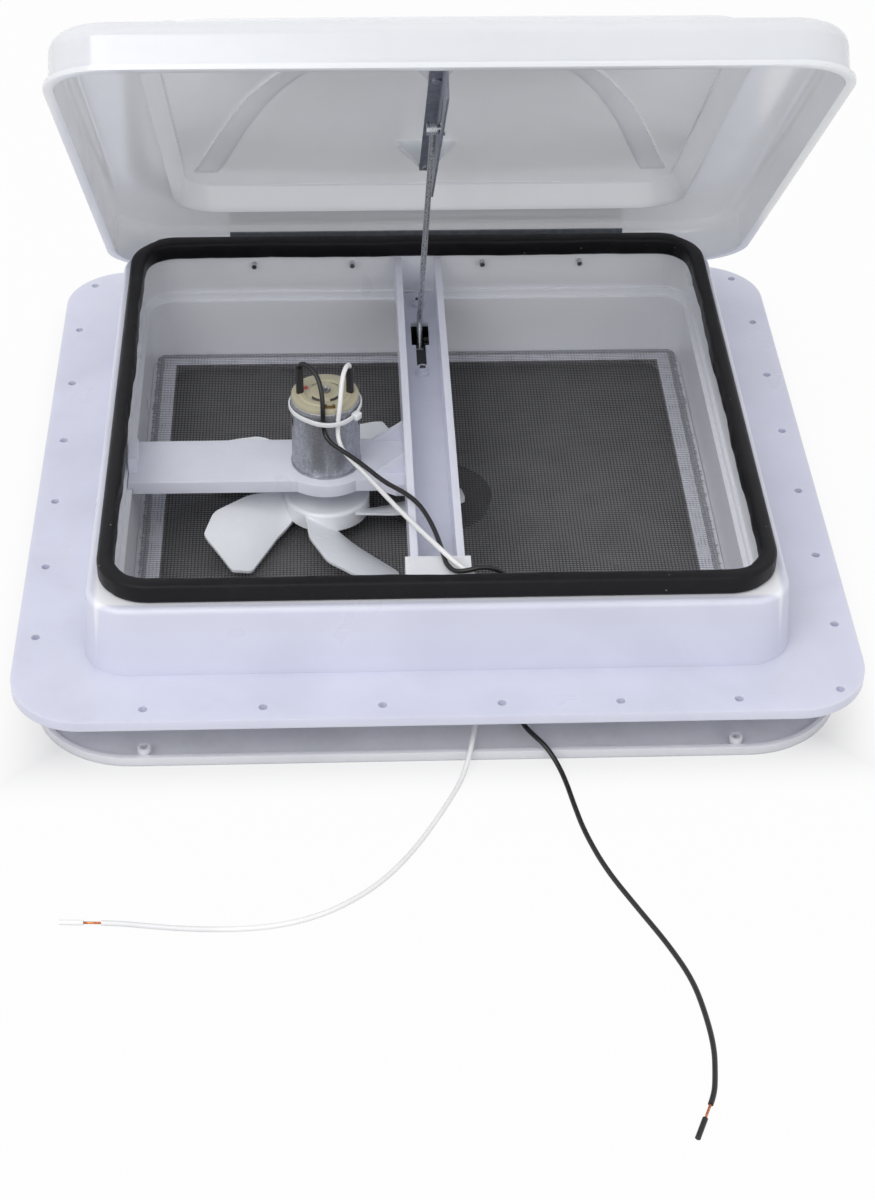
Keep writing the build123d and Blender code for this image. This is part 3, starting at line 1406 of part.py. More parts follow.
white_route = [
    (-43.3, -13.2, 78.0),
    (-43.3, -13.2, 81.6),
    (-44.2, -14.9, 83.3),
    (-45.9, -18.9, 83.2),
    (-47.3, -23.1, 80.2),
    (-48.2, -27.6, 74.8),
    (-48.8, -31.2, 68.4),
    (-49.9, -33.3, 61.2),
    (-50.4, -33.5, 52.4),
    (-49.9, -36.8, 48.6),
    (-48.0, -42.6, 46.4),
    (-44.0, -48.4, 44.6),
    (-38.0, -57.0, 43.2),
    (-29.0, -75.0, 43.6),
    (-20.2, -96.4, 46.6),
    (-13.2, -110.6, 48.0),
    (-6.8, -124.6, 49.9),
    (0.0, -139.0, 52.2),
    (5.6, -148.2, 52.0),
    (10.8, -154.0, 50.4),
    (16.7, -157.2, 48.7),
    (21.3, -158.4, 44.0),
    (22.8, -158.4, 35.6),
    (22.9, -158.0, 21.0),
    (22.4, -157.8, 1.0),
    (21.7, -158.6, -11.0),
    (21.2, -162.8, -17.8),
    (20.4, -170.0, -19.9),
    (18.9, -182.4, -20.4),
    (17.4, -196.4, -20.4),
    (15.7, -206.4, -21.2),
    (13.6, -215.0, -24.4),
    (10.6, -223.2, -28.2),
    (7.4, -231.2, -29.6),
    (-2.0, -250.4, -29.7),
    (-15.8, -275.6, -29.7),
    (-33.4, -299.0, -29.7),
    (-56.0, -316.2, -29.7),
    (-78.0, -324.4, -29.7),
    (-100.0, -326.8, -29.7),
    (-123.0, -325.9, -29.7),
    (-143.0, -323.3, -29.7),
    (-156.5, -321.1, -29.7),
    (-165.0, -320.65, -29.7),
]
bend_share = 0.45


def route_radii(route):
    """The largest bend radius that each inner point of a route has room for."""
    points = [Vector(*p) for p in route]
    radii = []
    for before, here, after in zip(points, points[1:], points[2:]):
        turn = radians((here - before).get_angle(after - here))
        run = min((here - before).length, (after - here).length)
        radii.append(bend_share * run / tan(turn / 2))
    return radii


def lead_solid(route, radius, name):
    """A round wire swept along straight runs joined by tangent arcs."""
    radii = route_radii(route)
    print(name, "radii", [round(r, 1) for r in radii])
    with BuildPart() as wire:
        with BuildLine():
            line = FilletPolyline(*[Vector(*p) for p in route], radius=radii)
        with BuildSketch(Plane(origin=line @ 0, z_dir=line % 0)):
            Circle(radius)
        sweep()
    length = line.length
    print(name, "length", round(length, 1), "volume share", round(wire.part.volume / (pi * radius**2 * length), 4))
    return wire


lead_black = lead_solid(black_route, lead_radius, "lead_black")
export(lead_black, "lead_black")
lead_white = lead_solid(white_route, lead_radius, "lead_white")
export(lead_white, "lead_white")



def lead_end(route, gap, length, radius):
    """A straight round wire past a route's last point, after the gap, in line with its last run."""
    last = Vector(*route[-1])
    heading = (last - Vector(*route[-2])).normalized()
    with BuildPart() as wire:
        with BuildSketch(Plane(origin=last + heading * gap, z_dir=heading)):
            Circle(radius)
        extrude(amount=length)
    return wire


for colour, route in (("black", black_route), ("white", white_route)):
    export(lead_end(route, 0, bare_length, copper_radius), f"copper_{colour}")
    export(lead_end(route, bare_length, stripped_tip, lead_radius), f"tip_{colour}")

# Cable tie: a band round the can and the two leads, just under the cap
tie_black = (-58.0, -34.2)
tie_white = (-50.3, -33.4)

with BuildSketch() as tie_outside:
    with Locations(motor_place):
        Circle(motor_can_radius + tie_gap + tie_thickness)
    with Locations(tie_black, tie_white):
        Circle(lead_radius + tie_gap + tie_thickness)
    make_hull(tie_outside.edges())

with BuildSketch() as tie_inside:
    with Locations(motor_place):
        Circle(motor_can_radius + tie_gap)
    with Locations(tie_black, tie_white):
        Circle(lead_radius + tie_gap)
    make_hull(tie_inside.edges())

with BuildPart() as cable_tie:
    with BuildSketch(Plane.XY.offset(cap_bottom - tie_drop)):
        add(tie_outside.sketch)
        add(tie_inside.sketch, mode=Mode.SUBTRACT)
    extrude(amount=-tie_width)
    with BuildSketch(Plane.XY.offset(cap_bottom - tie_drop + tie_gap)):
        with Locations(Location((motor_x, motor_y), tie_head_angle)):
            with Locations((motor_can_radius + tie_gap + tie_head / 2, 0)):
                Rectangle(tie_head, tie_head)
    extrude(amount=-tie_width - 2 * tie_gap)
export(cable_tie, "cable_tie")
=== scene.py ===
from math import atan2, cos, pi, radians, sin

import bpy
from mathutils import Matrix, Vector


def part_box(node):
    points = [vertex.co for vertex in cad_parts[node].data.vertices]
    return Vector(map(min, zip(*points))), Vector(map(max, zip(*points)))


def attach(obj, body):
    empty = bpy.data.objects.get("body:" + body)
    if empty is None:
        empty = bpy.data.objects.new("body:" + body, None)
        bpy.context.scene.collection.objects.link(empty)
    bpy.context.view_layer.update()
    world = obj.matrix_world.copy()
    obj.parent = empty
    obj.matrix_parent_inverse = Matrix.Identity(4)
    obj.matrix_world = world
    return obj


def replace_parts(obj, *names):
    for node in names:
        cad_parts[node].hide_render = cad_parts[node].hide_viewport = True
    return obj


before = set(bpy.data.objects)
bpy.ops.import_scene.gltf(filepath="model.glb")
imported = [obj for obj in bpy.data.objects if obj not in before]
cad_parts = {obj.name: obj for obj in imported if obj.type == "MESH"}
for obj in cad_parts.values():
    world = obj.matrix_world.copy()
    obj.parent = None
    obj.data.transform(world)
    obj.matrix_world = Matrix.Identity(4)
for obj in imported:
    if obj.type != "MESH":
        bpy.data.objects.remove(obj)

bl_info = {
    "name": "Caravan roof vent",
    "version": (1, 0, 0),
    "blender": (4, 5, 0),
    "location": "View3D > Sidebar > Roof Vent",
    "description": "Dresses the packed roof vent with its seal, screen, leads, finishes and studio",
    "category": "Object",
}

MM = 0.001
SCREEN_OPENING = 150 * MM  # from the middle to the edge of the welded rim's opening


def tone(red, green, blue):
    """A colour written as 0 to 255 display values, as the linear values that a socket takes."""
    def linear(v):
        v = v / 255
        return v / 12.92 if v <= 0.04045 else ((v + 0.055) / 1.055) ** 2.4
    return (linear(red), linear(green), linear(blue), 1.0)


# Sizes and colours that a user would change


class VentSizes(bpy.types.PropertyGroup):
    """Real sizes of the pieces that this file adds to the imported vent."""

    mesh_pitch: bpy.props.FloatProperty(
        name="Mesh pitch", description="Distance between the wires of the insect screen",
        default=1.9 * MM, min=1.2 * MM, max=4 * MM, unit="LENGTH", precision=5)
    mesh_wire: bpy.props.FloatProperty(
        name="Mesh wire", description="Thickness of one wire of the insect screen",
        default=0.72 * MM, min=0.1 * MM, max=1 * MM, unit="LENGTH", precision=5)
    lead_width: bpy.props.FloatProperty(
        name="Lead", description="Diameter of one insulated lead",
        default=2.6 * MM, min=1 * MM, max=5 * MM, unit="LENGTH", precision=5)
    seal_wave: bpy.props.FloatProperty(
        name="Seal wave", description="How far the inner edge of the rim seal wanders",
        default=0.7 * MM, min=0.0, max=3 * MM, unit="LENGTH", precision=5)


class VentColours(bpy.types.PropertyGroup):
    """Colours of the finishes."""

    shell: bpy.props.FloatVectorProperty(
        name="Shell", description="White of the base, channel and strut",
        subtype="COLOR", size=4, min=0, max=1, default=tone(213, 215, 232))
    lid: bpy.props.FloatVectorProperty(
        name="Lid", description="White of the lid",
        subtype="COLOR", size=4, min=0, max=1, default=tone(228, 231, 239))
    blades: bpy.props.FloatVectorProperty(
        name="Fan", description="White of the fan blades",
        subtype="COLOR", size=4, min=0, max=1, default=tone(247, 249, 253))
    seal: bpy.props.FloatVectorProperty(
        name="Seal", description="Black of the rim seal",
        subtype="COLOR", size=4, min=0, max=1, default=tone(15, 14, 18))
    screen: bpy.props.FloatVectorProperty(
        name="Screen", description="Grey of the insect screen",
        subtype="COLOR", size=4, min=0, max=1, default=tone(112, 111, 113))


class StudioSettings(bpy.types.PropertyGroup):
    """Floor, light and camera."""

    floor_tone: bpy.props.FloatVectorProperty(
        name="Floor", description="Colour of the floor",
        subtype="COLOR", size=4, min=0, max=1, default=tone(206, 206, 207))
    key_power: bpy.props.FloatProperty(
        name="Key light", description="Power of the large soft light",
        default=24.0, min=0.0, unit="POWER")
    sky_level: bpy.props.FloatProperty(
        name="Sky", description="Brightness of the even light from all round",
        default=0.78, min=0.0, max=2.0)


# Small helpers


def deselect():
    """Leaves edit mode and selects nothing."""
    if bpy.context.object and bpy.context.object.mode != "OBJECT":
        bpy.ops.object.mode_set(mode="OBJECT")
    bpy.ops.object.select_all(action="DESELECT")


def take(piece):
    """Makes one object the only selected and active one."""
    deselect()
    piece.select_set(True)
    bpy.context.view_layer.objects.active = piece
    return piece


def shape(piece, work, faces=None, edges=None, points=None):
    """Opens edit mode with the chosen faces, edges or points selected, and does the work there."""
    take(piece)
    mesh = piece.data
    bpy.ops.object.mode_set(mode="EDIT")
    kind = "FACE" if faces else "EDGE" if edges else "VERT"
    bpy.ops.mesh.select_mode(type=kind)
    bpy.ops.mesh.select_all(action="DESELECT")
    bpy.ops.object.mode_set(mode="OBJECT")
    if faces:
        for face in mesh.polygons:
            face.select = faces(face)
    elif edges:
        for edge in mesh.edges:
            edge.select = edges(*(mesh.vertices[i].co for i in edge.vertices))
    elif points:
        for point in mesh.vertices:
            point.select = points(point.co)
    bpy.ops.object.mode_set(mode="EDIT")
    if not (faces or edges or points):
        bpy.ops.mesh.select_all(action="SELECT")
    work()
    bpy.ops.object.mode_set(mode="OBJECT")
    return piece


def modify(piece, kind, **settings):
    """Adds one modifier and applies it."""
    take(piece)
    added = piece.modifiers.new(kind.title(), kind)
    for name, value in settings.items():
        setattr(added, name, value)
    bpy.ops.object.modifier_apply(modifier=added.name)
    return piece


def place(piece):
    """Moves the place, turn and size of an object into its mesh."""
    take(piece)
    bpy.ops.object.transform_apply(location=True, rotation=True, scale=True)
    return piece


def join(pieces, name):
    """Joins several objects into one with that name."""
    deselect()
    for piece in pieces:
        piece.select_set(True)
    bpy.context.view_layer.objects.active = pieces[0]
    bpy.ops.object.join()
    joined = bpy.context.object
    joined.name = name
    return joined


def soften(piece, width, segments=2, angle=None):
    """Rounds every edge, or those sharper than an angle in degrees."""
    if angle is None:
        return modify(piece, "BEVEL", width=width, segments=segments)
    return modify(piece, "BEVEL", width=width, segments=segments, limit_method="ANGLE",
                  angle_limit=radians(angle))


def smooth(piece, angle=40):
    """Shades a piece smooth, but for edges sharper than an angle in degrees."""
    take(piece)
    bpy.ops.object.shade_smooth_by_angle(angle=radians(angle))
    return piece


def cylinder(radius, depth, middle, vertices=96, **others):
    """A new upright cylinder, its place in its mesh."""
    deselect()
    bpy.ops.mesh.primitive_cylinder_add(vertices=vertices, radius=radius, depth=depth, location=middle,
                                        **others)
    return place(bpy.context.object)


def block(size, middle, **others):
    """A new block of that size, its place and turn in its mesh."""
    deselect()
    bpy.ops.mesh.primitive_cube_add(size=1.0, location=middle, **others)
    made = bpy.context.object
    made.dimensions = size
    return place(made)


def is_round_top(face):
    """True for the wide round face on top of a turned piece."""
    return face.normal.z > 0.9 and len(face.vertices) > 8


def fit(piece, body, finish):
    """Ends a piece: its place goes into the mesh, it takes its finish and rides on its body."""
    place(piece)
    piece.data.materials.clear()
    piece.data.materials.append(finish)
    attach(piece, body)
    return piece


def dress(finish, *nodes):
    """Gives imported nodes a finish."""
    for node in nodes:
        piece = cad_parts[node]
        for holder in piece.material_slots:
            holder.material = finish


# Finishes: effects that several materials share


def effect(name, inputs, outputs):
    """An empty shader node group with named sockets."""
    group = bpy.data.node_groups.new(name, "ShaderNodeTree")
    for label, kind, value in inputs:
        socket = group.interface.new_socket(label, in_out="INPUT", socket_type="NodeSocket" + kind)
        socket.default_value = value
    for label, kind in outputs:
        group.interface.new_socket(label, in_out="OUTPUT", socket_type="NodeSocket" + kind)
    return group, group.nodes.new("NodeGroupInput"), group.nodes.new("NodeGroupOutput")


def node(tree, kind, inputs=(), **settings):
    """Adds one node. Inputs are (socket name or number, value or output socket)."""
    made = tree.nodes.new("ShaderNode" + kind)
    for name, value in settings.items():
        setattr(made, name, value)
    for name, value in inputs:
        if isinstance(value, bpy.types.NodeSocket):
            tree.links.new(value, made.inputs[name])
        else:
            made.inputs[name].default_value = value
    return made


def cloudy(tree, vector, scale, detail, **others):
    """A noise texture's value at a place."""
    inputs = [("Vector", vector), ("Scale", scale), ("Detail", detail)]
    inputs += [(name.title(), value) for name, value in others.items()]
    return node(tree, "TexNoise", inputs).outputs["Fac"]


def split(tree, vector=None):
    """A vector split in X, Y and Z. With none given it is the place on the object."""
    if vector is None:
        vector = node(tree, "TexCoord").outputs["Object"]
    return node(tree, "SeparateXYZ", [("Vector", vector)])


def reckon(tree, operation, *values):
    """The result of one arithmetic node on values or sockets."""
    return node(tree, "Math", list(enumerate(values)), operation=operation).outputs[0]


def blend_tones(tree, share, first, second):
    """A colour mix of two tones by a share."""
    return node(tree, "Mix", [(0, share), (6, first), (7, second)], data_type="RGBA").outputs[2]


def band(tree, value, low, high, start=0.0, end=1.0):
    """A value mapped smoothly from one range to another, and held at the ends."""
    return node(tree, "MapRange", [("Value", value), ("From Min", low), ("From Max", high),
                                   ("To Min", start), ("To Max", end)],
                interpolation_type="SMOOTHSTEP").outputs["Result"]


def near(tree, value, spot, half, edge):
    """1 where a value is within half of a spot, falling to 0 over an edge."""
    away = reckon(tree, "ABSOLUTE", reckon(tree, "SUBTRACT", value, spot))
    return band(tree, away, half, half + edge, 1.0, 0.0)


def repaint(finish, share, colour):
    """Lays a colour over a finish's own where the share is 1."""
    tree = finish.node_tree
    shader = tree.nodes["Principled BSDF"]
    old = shader.inputs["Base Color"].links[0].from_socket
    tree.links.new(blend_tones(tree, share, old, colour), shader.inputs["Base Color"])


def farther(tree, spot):
    """How far a split place is from the middle, across or along, whichever is more."""
    sides = [reckon(tree, "ABSOLUTE", spot.outputs[axis])
             for axis in ("X", "Y")]
    return reckon(tree, "MAXIMUM", sides[0], sides[1])


def moulded_effect():
    """Injection moulded plastic: faint flow clouds, a fine spark grain and small handling marks."""
    group, given, result = effect(
        "Moulded plastic",
        [("Colour", "Color", (0.8, 0.8, 0.8, 1)), ("Cloud Colour", "Color", (0.7, 0.7, 0.7, 1)),
         ("Cloud Scale", "Float", 14.0), ("Grain Scale", "Float", 2600.0),
         ("Roughness", "Float", 0.35), ("Marks", "Float", 0.3)],
        [("Colour", "Color"), ("Roughness", "Float"), ("Height", "Float")])
    place_in = node(group, "TexCoord").outputs["Object"]
    cloud = cloudy(group, place_in, given.outputs["Cloud Scale"], 3.0, distortion=0.6)
    grain = cloudy(group, place_in, given.outputs["Grain Scale"], 2.0)
    long_way = node(group, "Mapping", [("Vector", place_in), ("Rotation", (0.3, 0.2, 0.7)),
                                       ("Scale", (1.0, 14.0, 14.0))]).outputs["Vector"]
    scuffs = cloudy(group, long_way, 24.0, 5.0, roughness=0.65)
    scuff = band(group, scuffs, 0.6, 0.72)
    scuff = reckon(group, "MULTIPLY", scuff, given.outputs["Marks"])
    share = band(group, cloud, 0.35, 0.75)
    colour = blend_tones(group, share, given.outputs["Colour"], given.outputs["Cloud Colour"])
    rough = band(group, cloud, 0.2, 0.8, -0.04, 0.05)
    rough = reckon(group, "ADD", rough, given.outputs["Roughness"])
    rough = reckon(group, "MULTIPLY_ADD", scuff, 0.12, rough)
    group.links.new(colour, result.inputs["Colour"])
    group.links.new(rough, result.inputs["Roughness"])
    group.links.new(grain, result.inputs["Height"])
    return group


def metal_effect():
    """Plated or drawn metal: spangle patches, streaks along the work and dull spots."""
    group, given, result = effect(
        "Worked metal",
        [("Colour", "Color", (0.6, 0.6, 0.6, 1)), ("Dull Colour", "Color", (0.4, 0.4, 0.4, 1)),
         ("Patch Scale", "Float", 180.0), ("Streak Scale", "Float", 90.0),
         ("Streak Stretch", "Vector", (1.0, 1.0, 1.0)), ("Roughness", "Float", 0.3)],
        [("Colour", "Color"), ("Roughness", "Float"), ("Height", "Float")])
    place_in = node(group, "TexCoord").outputs["Object"]
    patch = node(group, "TexVoronoi", [("Vector", place_in),
                                       ("Scale", given.outputs["Patch Scale"])]).outputs["Color"]
    patch = node(group, "SeparateColor", [("Color", patch)]).outputs["Red"]
    stretched = node(group, "Mapping", [("Vector", place_in),
                                        ("Scale", given.outputs["Streak Stretch"])]).outputs["Vector"]
    streak = cloudy(group, stretched, given.outputs["Streak Scale"], 5.0, roughness=0.6)
    both = reckon(group, "MULTIPLY_ADD", patch, 0.35, streak)
    share = band(group, both, 0.35, 0.95)
    colour = blend_tones(group, share, given.outputs["Colour"], given.outputs["Dull Colour"])
    rough = band(group, both, 0.3, 1.0, -0.08, 0.14)
    rough = reckon(group, "ADD", rough, given.outputs["Roughness"])
    group.links.new(colour, result.inputs["Colour"])
    group.links.new(rough, result.inputs["Roughness"])
    group.links.new(streak, result.inputs["Height"])
    return group


def dust_effect():
    """Dust that settles on surfaces facing up, in soft clouds."""
    group, given, result = effect(
        "Settled dust",
        [("Colour", "Color", (0.8, 0.8, 0.8, 1)), ("Dust Colour", "Color", (0.4, 0.4, 0.4, 1)),
         ("Amount", "Float", 0.2), ("Scale", "Float", 30.0)],
        [("Colour", "Color"), ("Mask", "Float")])
    place_in = node(group, "TexCoord").outputs["Object"]
    facing = node(group, "NewGeometry").outputs["Normal"]
    up = split(group, facing).outputs["Z"]
    cloud = cloudy(group, place_in, given.outputs["Scale"], 6.0, roughness=0.7)
    mask = reckon(group, "MULTIPLY", band(group, up, 0.3, 0.95), band(group, cloud, 0.4, 0.75))
    mask = reckon(group, "MULTIPLY", mask, given.outputs["Amount"])
    colour = blend_tones(group, mask, given.outputs["Colour"], given.outputs["Dust Colour"])
    group.links.new(colour, result.inputs["Colour"])
    group.links.new(mask, result.inputs["Mask"])
    return group


def shared(name, build):
    """The node group of that name, built once."""
    return bpy.data.node_groups.get(name) or build()


def use(tree, group, inputs):
    """Places a node group in a material with its own values."""
    made = tree.nodes.new("ShaderNodeGroup")
    made.node_tree = group
    for name, value in inputs:
        if isinstance(value, bpy.types.NodeSocket):
            tree.links.new(value, made.inputs[name])
        else:
            made.inputs[name].default_value = value
    return made


def new_finish(name, **uniform):
    """A material with an empty Principled shader, whose even values are set on its sockets."""
    finish = bpy.data.materials.new(name)
    finish.use_nodes = True
    shader = finish.node_tree.nodes["Principled BSDF"]
    for label, value in uniform.items():
        shader.inputs[label.replace("_", " ")].default_value = value
    return finish, finish.node_tree, shader


def rise(tree, shader, height, strength, distance):
    """Feeds a height to the shader's normal."""
    bump = node(tree, "Bump", [("Height", height), ("Strength", strength), ("Distance", distance)])
    tree.links.new(bump.outputs["Normal"], shader.inputs["Normal"])
    return bump


def plastic(name, colour, cloud, roughness=0.35, grain=2600.0, relief=0.08, marks=0.3, dust=0.0,
            dust_tone=(0.35, 0.34, 0.33, 1.0), coat=0.0, milky=0.0, depth=8 * MM):
    """Moulded plastic with clouds, grain, marks and dust. Milky plastic lets some light through."""
    finish, tree, shader = new_finish(name, IOR=1.5, Coat_Weight=coat, Coat_Roughness=0.08,
                                      Subsurface_Weight=milky, Subsurface_Scale=1.0,
                                      Subsurface_Radius=(depth, depth, depth))
    made = use(tree, shared("Moulded plastic", moulded_effect),
               [("Colour", colour), ("Cloud Colour", cloud), ("Roughness", roughness),
                ("Grain Scale", grain), ("Marks", marks)])
    result = made.outputs["Colour"]
    if dust:
        dusty = use(tree, shared("Settled dust", dust_effect),
                    [("Colour", result), ("Dust Colour", dust_tone), ("Amount", dust)])
        result = dusty.outputs["Colour"]
    tree.links.new(result, shader.inputs["Base Color"])
    tree.links.new(made.outputs["Roughness"], shader.inputs["Roughness"])
    rise(tree, shader, made.outputs["Height"], relief, 0.0004)
    return finish


def metal(name, colour, dull, roughness=0.3, patch=180.0, streak=90.0, stretch=(1.0, 1.0, 1.0),
          relief=0.06, metallic=1.0):
    """Plated, drawn or rolled metal."""
    finish, tree, shader = new_finish(name, Metallic=metallic)
    made = use(tree, shared("Worked metal", metal_effect),
               [("Colour", colour), ("Dull Colour", dull), ("Patch Scale", patch),
                ("Streak Scale", streak), ("Streak Stretch", stretch), ("Roughness", roughness)])
    tree.links.new(made.outputs["Colour"], shader.inputs["Base Color"])
    tree.links.new(made.outputs["Roughness"], shader.inputs["Roughness"])
    rise(tree, shader, made.outputs["Height"], relief, 0.0003)
    return finish


def colours():
    return bpy.context.scene.vent_colours


def sizes():
    return bpy.context.scene.vent_sizes


# The leads' routes, in metres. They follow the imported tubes, but for the place in front of the can
# where the black lead passes over the white one.

BLACK_ROUTE = [
    (-0.0707, -0.0132, 0.0780), (-0.0707, -0.0132, 0.0820), (-0.0691, -0.0140, 0.0839),
    (-0.0656, -0.0169, 0.0840), (-0.0622, -0.0208, 0.0824), (-0.0598, -0.0254, 0.0790),
    (-0.0585, -0.0300, 0.0740), (-0.0582, -0.0332, 0.0670), (-0.0582, -0.0341, 0.0605),
    (-0.0580, -0.0343, 0.0522), (-0.0549, -0.0387, 0.0490), (-0.0495, -0.0437, 0.0476),
    (-0.0432, -0.0491, 0.0463), (-0.0352, -0.0586, 0.0456), (-0.0256, -0.0728, 0.0457),
    (-0.0157, -0.0848, 0.0478), (-0.0082, -0.0950, 0.0476), (-0.0030, -0.1075, 0.0462),
    (0.0002, -0.1210, 0.0462), (0.0019, -0.1335, 0.0478), (0.0030, -0.1434, 0.0489),
    (0.0042, -0.1506, 0.0490), (0.0080, -0.1566, 0.0492), (0.0142, -0.1583, 0.0512),
    (0.0214, -0.1574, 0.0528), (0.0286, -0.1569, 0.0512), (0.0344, -0.1568, 0.0464),
    (0.0380, -0.1569, 0.0370), (0.0396, -0.1572, 0.0220), (0.0402, -0.1576, 0.0020),
    (0.0400, -0.1586, -0.0106), (0.0401, -0.1626, -0.0174), (0.0403, -0.1696, -0.0197),
    (0.0406, -0.1816, -0.0203), (0.0418, -0.1944, -0.0202), (0.0464, -0.2026, -0.0204),
    (0.0528, -0.2098, -0.0222), (0.0584, -0.2182, -0.0269), (0.0620, -0.2295, -0.0294),
    (0.0646, -0.2460, -0.0297), (0.0682, -0.2660, -0.0297), (0.0762, -0.2920, -0.0297),
    (0.0888, -0.3184, -0.0297), (0.1006, -0.3424, -0.0297), (0.1092, -0.3646, -0.0297),
    (0.1126, -0.3860, -0.0297), (0.1139, -0.4060, -0.0297), (0.1122, -0.4216, -0.0297),
    (0.1105, -0.4322, -0.0297), (0.1080, -0.4380, -0.0297),
]
WHITE_ROUTE = [
    (-0.0433, -0.0132, 0.0780), (-0.0433, -0.0132, 0.0816), (-0.0442, -0.0149, 0.0833),
    (-0.0459, -0.0189, 0.0832), (-0.0473, -0.0231, 0.0802), (-0.0482, -0.0276, 0.0748),
    (-0.0488, -0.0312, 0.0684), (-0.0499, -0.0333, 0.0612), (-0.0504, -0.0335, 0.0524),
    (-0.0499, -0.0360, 0.0480), (-0.0480, -0.0414, 0.0455), (-0.0440, -0.0472, 0.0437),
    (-0.0380, -0.0570, 0.0432), (-0.0290, -0.0750, 0.0436), (-0.0202, -0.0964, 0.0466),
    (-0.0132, -0.1106, 0.0480), (-0.0068, -0.1246, 0.0499), (0.0000, -0.1390, 0.0522),
    (0.0056, -0.1482, 0.0520), (0.0108, -0.1540, 0.0504), (0.0167, -0.1572, 0.0487),
    (0.0213, -0.1584, 0.0440), (0.0228, -0.1584, 0.0356), (0.0229, -0.1580, 0.0210),
    (0.0224, -0.1578, 0.0010), (0.0217, -0.1586, -0.0110), (0.0212, -0.1628, -0.0178),
    (0.0204, -0.1700, -0.0199), (0.0189, -0.1824, -0.0204), (0.0174, -0.1964, -0.0204),
    (0.0157, -0.2064, -0.0212), (0.0136, -0.2150, -0.0244), (0.0106, -0.2232, -0.0282),
    (0.0074, -0.2312, -0.0296), (-0.0020, -0.2504, -0.0297), (-0.0158, -0.2756, -0.0297),
    (-0.0334, -0.2990, -0.0297), (-0.0560, -0.3162, -0.0297), (-0.0780, -0.3244, -0.0297),
    (-0.1000, -0.3268, -0.0297), (-0.1230, -0.3259, -0.0297), (-0.1430, -0.3233, -0.0297),
    (-0.1565, -0.3211, -0.0297), (-0.1650, -0.32065, -0.0297),
]


def lead(name, route, finish):
    """One insulated lead on a smooth curve through its route."""
    deselect()
    bpy.ops.curve.primitive_nurbs_path_add(location=(0, 0, 0))
    made = bpy.context.object
    made.name = name
    line = made.data
    line.splines.clear()
    spline = line.splines.new("NURBS")
    spline.points.add(len(route) - 1)
    for point, spot in zip(spline.points, route):
        point.co = (*spot, 1.0)
    spline.order_u = 3
    spline.use_endpoint_u = True
    line.dimensions = "3D"
    line.resolution_u = 6
    line.bevel_depth = sizes().lead_width / 2
    line.bevel_resolution = 4
    line.use_fill_caps = True
    line.materials.clear()
    line.materials.append(finish)
    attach(made, "body")
    return made


class VENT_OT_leads(bpy.types.Operator):
    """Lays the two insulated leads and finishes their stripped ends."""

    bl_idname = "vent.leads"
    bl_label = "Leads"

    def execute(self, context):
        black = plastic("Black lead jacket", tone(17, 16, 18), tone(25, 24, 26), 0.36, grain=900.0,
                        relief=0.12)
        white = plastic("White lead jacket", tone(240, 240, 240), tone(222, 222, 224), 0.34,
                        grain=900.0, relief=0.12)
        copper = metal("Stripped copper", tone(214, 140, 96), tone(160, 92, 58), 0.32, patch=900.0,
                       streak=700.0, relief=0.3)
        dress(copper, "copper_black", "copper_white")
        dress(black, "tip_black")
        dress(white, "tip_white")
        dark = lead("black_lead", BLACK_ROUTE, black)
        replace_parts(dark, "lead_black")
        pale = lead("white_lead", WHITE_ROUTE, white)
        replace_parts(pale, "lead_white")
        return {"FINISHED"}


class VENT_OT_mouldings(bpy.types.Operator):
    """Finishes the white mouldings: base, channel, strut and inside trim, with painted light on the
    base's inner walls, the channel and the strut.
    """

    bl_idname = "vent.mouldings"
    bl_label = "White mouldings"

    def execute(self, context):
        shell = plastic("White shell plastic", colours().shell, tone(206, 208, 225), 0.3, marks=0.35,
                        dust=0.1, dust_tone=tone(170, 168, 166), coat=0.15, milky=0.35, depth=8 * MM)
        inside = plastic("White trim plastic", tone(228, 229, 235), tone(218, 219, 226), 0.4,
                         marks=0.5, dust=0.2, dust_tone=tone(160, 159, 158), milky=0.5)
        tree = shell.node_tree
        shader = tree.nodes["Principled BSDF"]
        outside = shader.inputs["Base Color"].links[0].from_socket
        # Painted light: inside the curb the base takes a lighter copy of its white, standing in for
        # light on the inner walls.
        within = node(tree, "Mix", [(0, 0.85), (6, outside), (7, tone(247, 248, 253))],
                      data_type="RGBA").outputs[2]
        curb_inside = 172 * MM
        share = band(tree, farther(tree, split(tree)), curb_inside, curb_inside + 3 * MM)
        tree.links.new(blend_tones(tree, share, within, outside), shader.inputs["Base Color"])
        dress(shell, "base")
        # Painted light: the channel and strut take a lighter copy of the shell's white, standing in for
        # light inside the vent.
        bridge = plastic("White channel plastic painted lighter", tone(230, 232, 245), tone(227, 229, 243), 0.3,
                         marks=0.35, dust=0.1, dust_tone=tone(170, 168, 166), coat=0.15, milky=0.35)
        dress(bridge, "centre_channel", "fan_strut")
        dress(inside, "interior_trim")
        return {"FINISHED"}


class VENT_OT_lid(bpy.types.Operator):
    """Finishes the lid moulding."""

    bl_idname = "vent.lid"
    bl_label = "Lid"

    def execute(self, context):
        white = plastic("Lid plastic", colours().lid, tone(223, 227, 233), 0.16, relief=0.04, marks=0.4,
                        coat=0.25, milky=0.8, depth=14 * MM)
        dress(white, "lid")
        return {"FINISHED"}


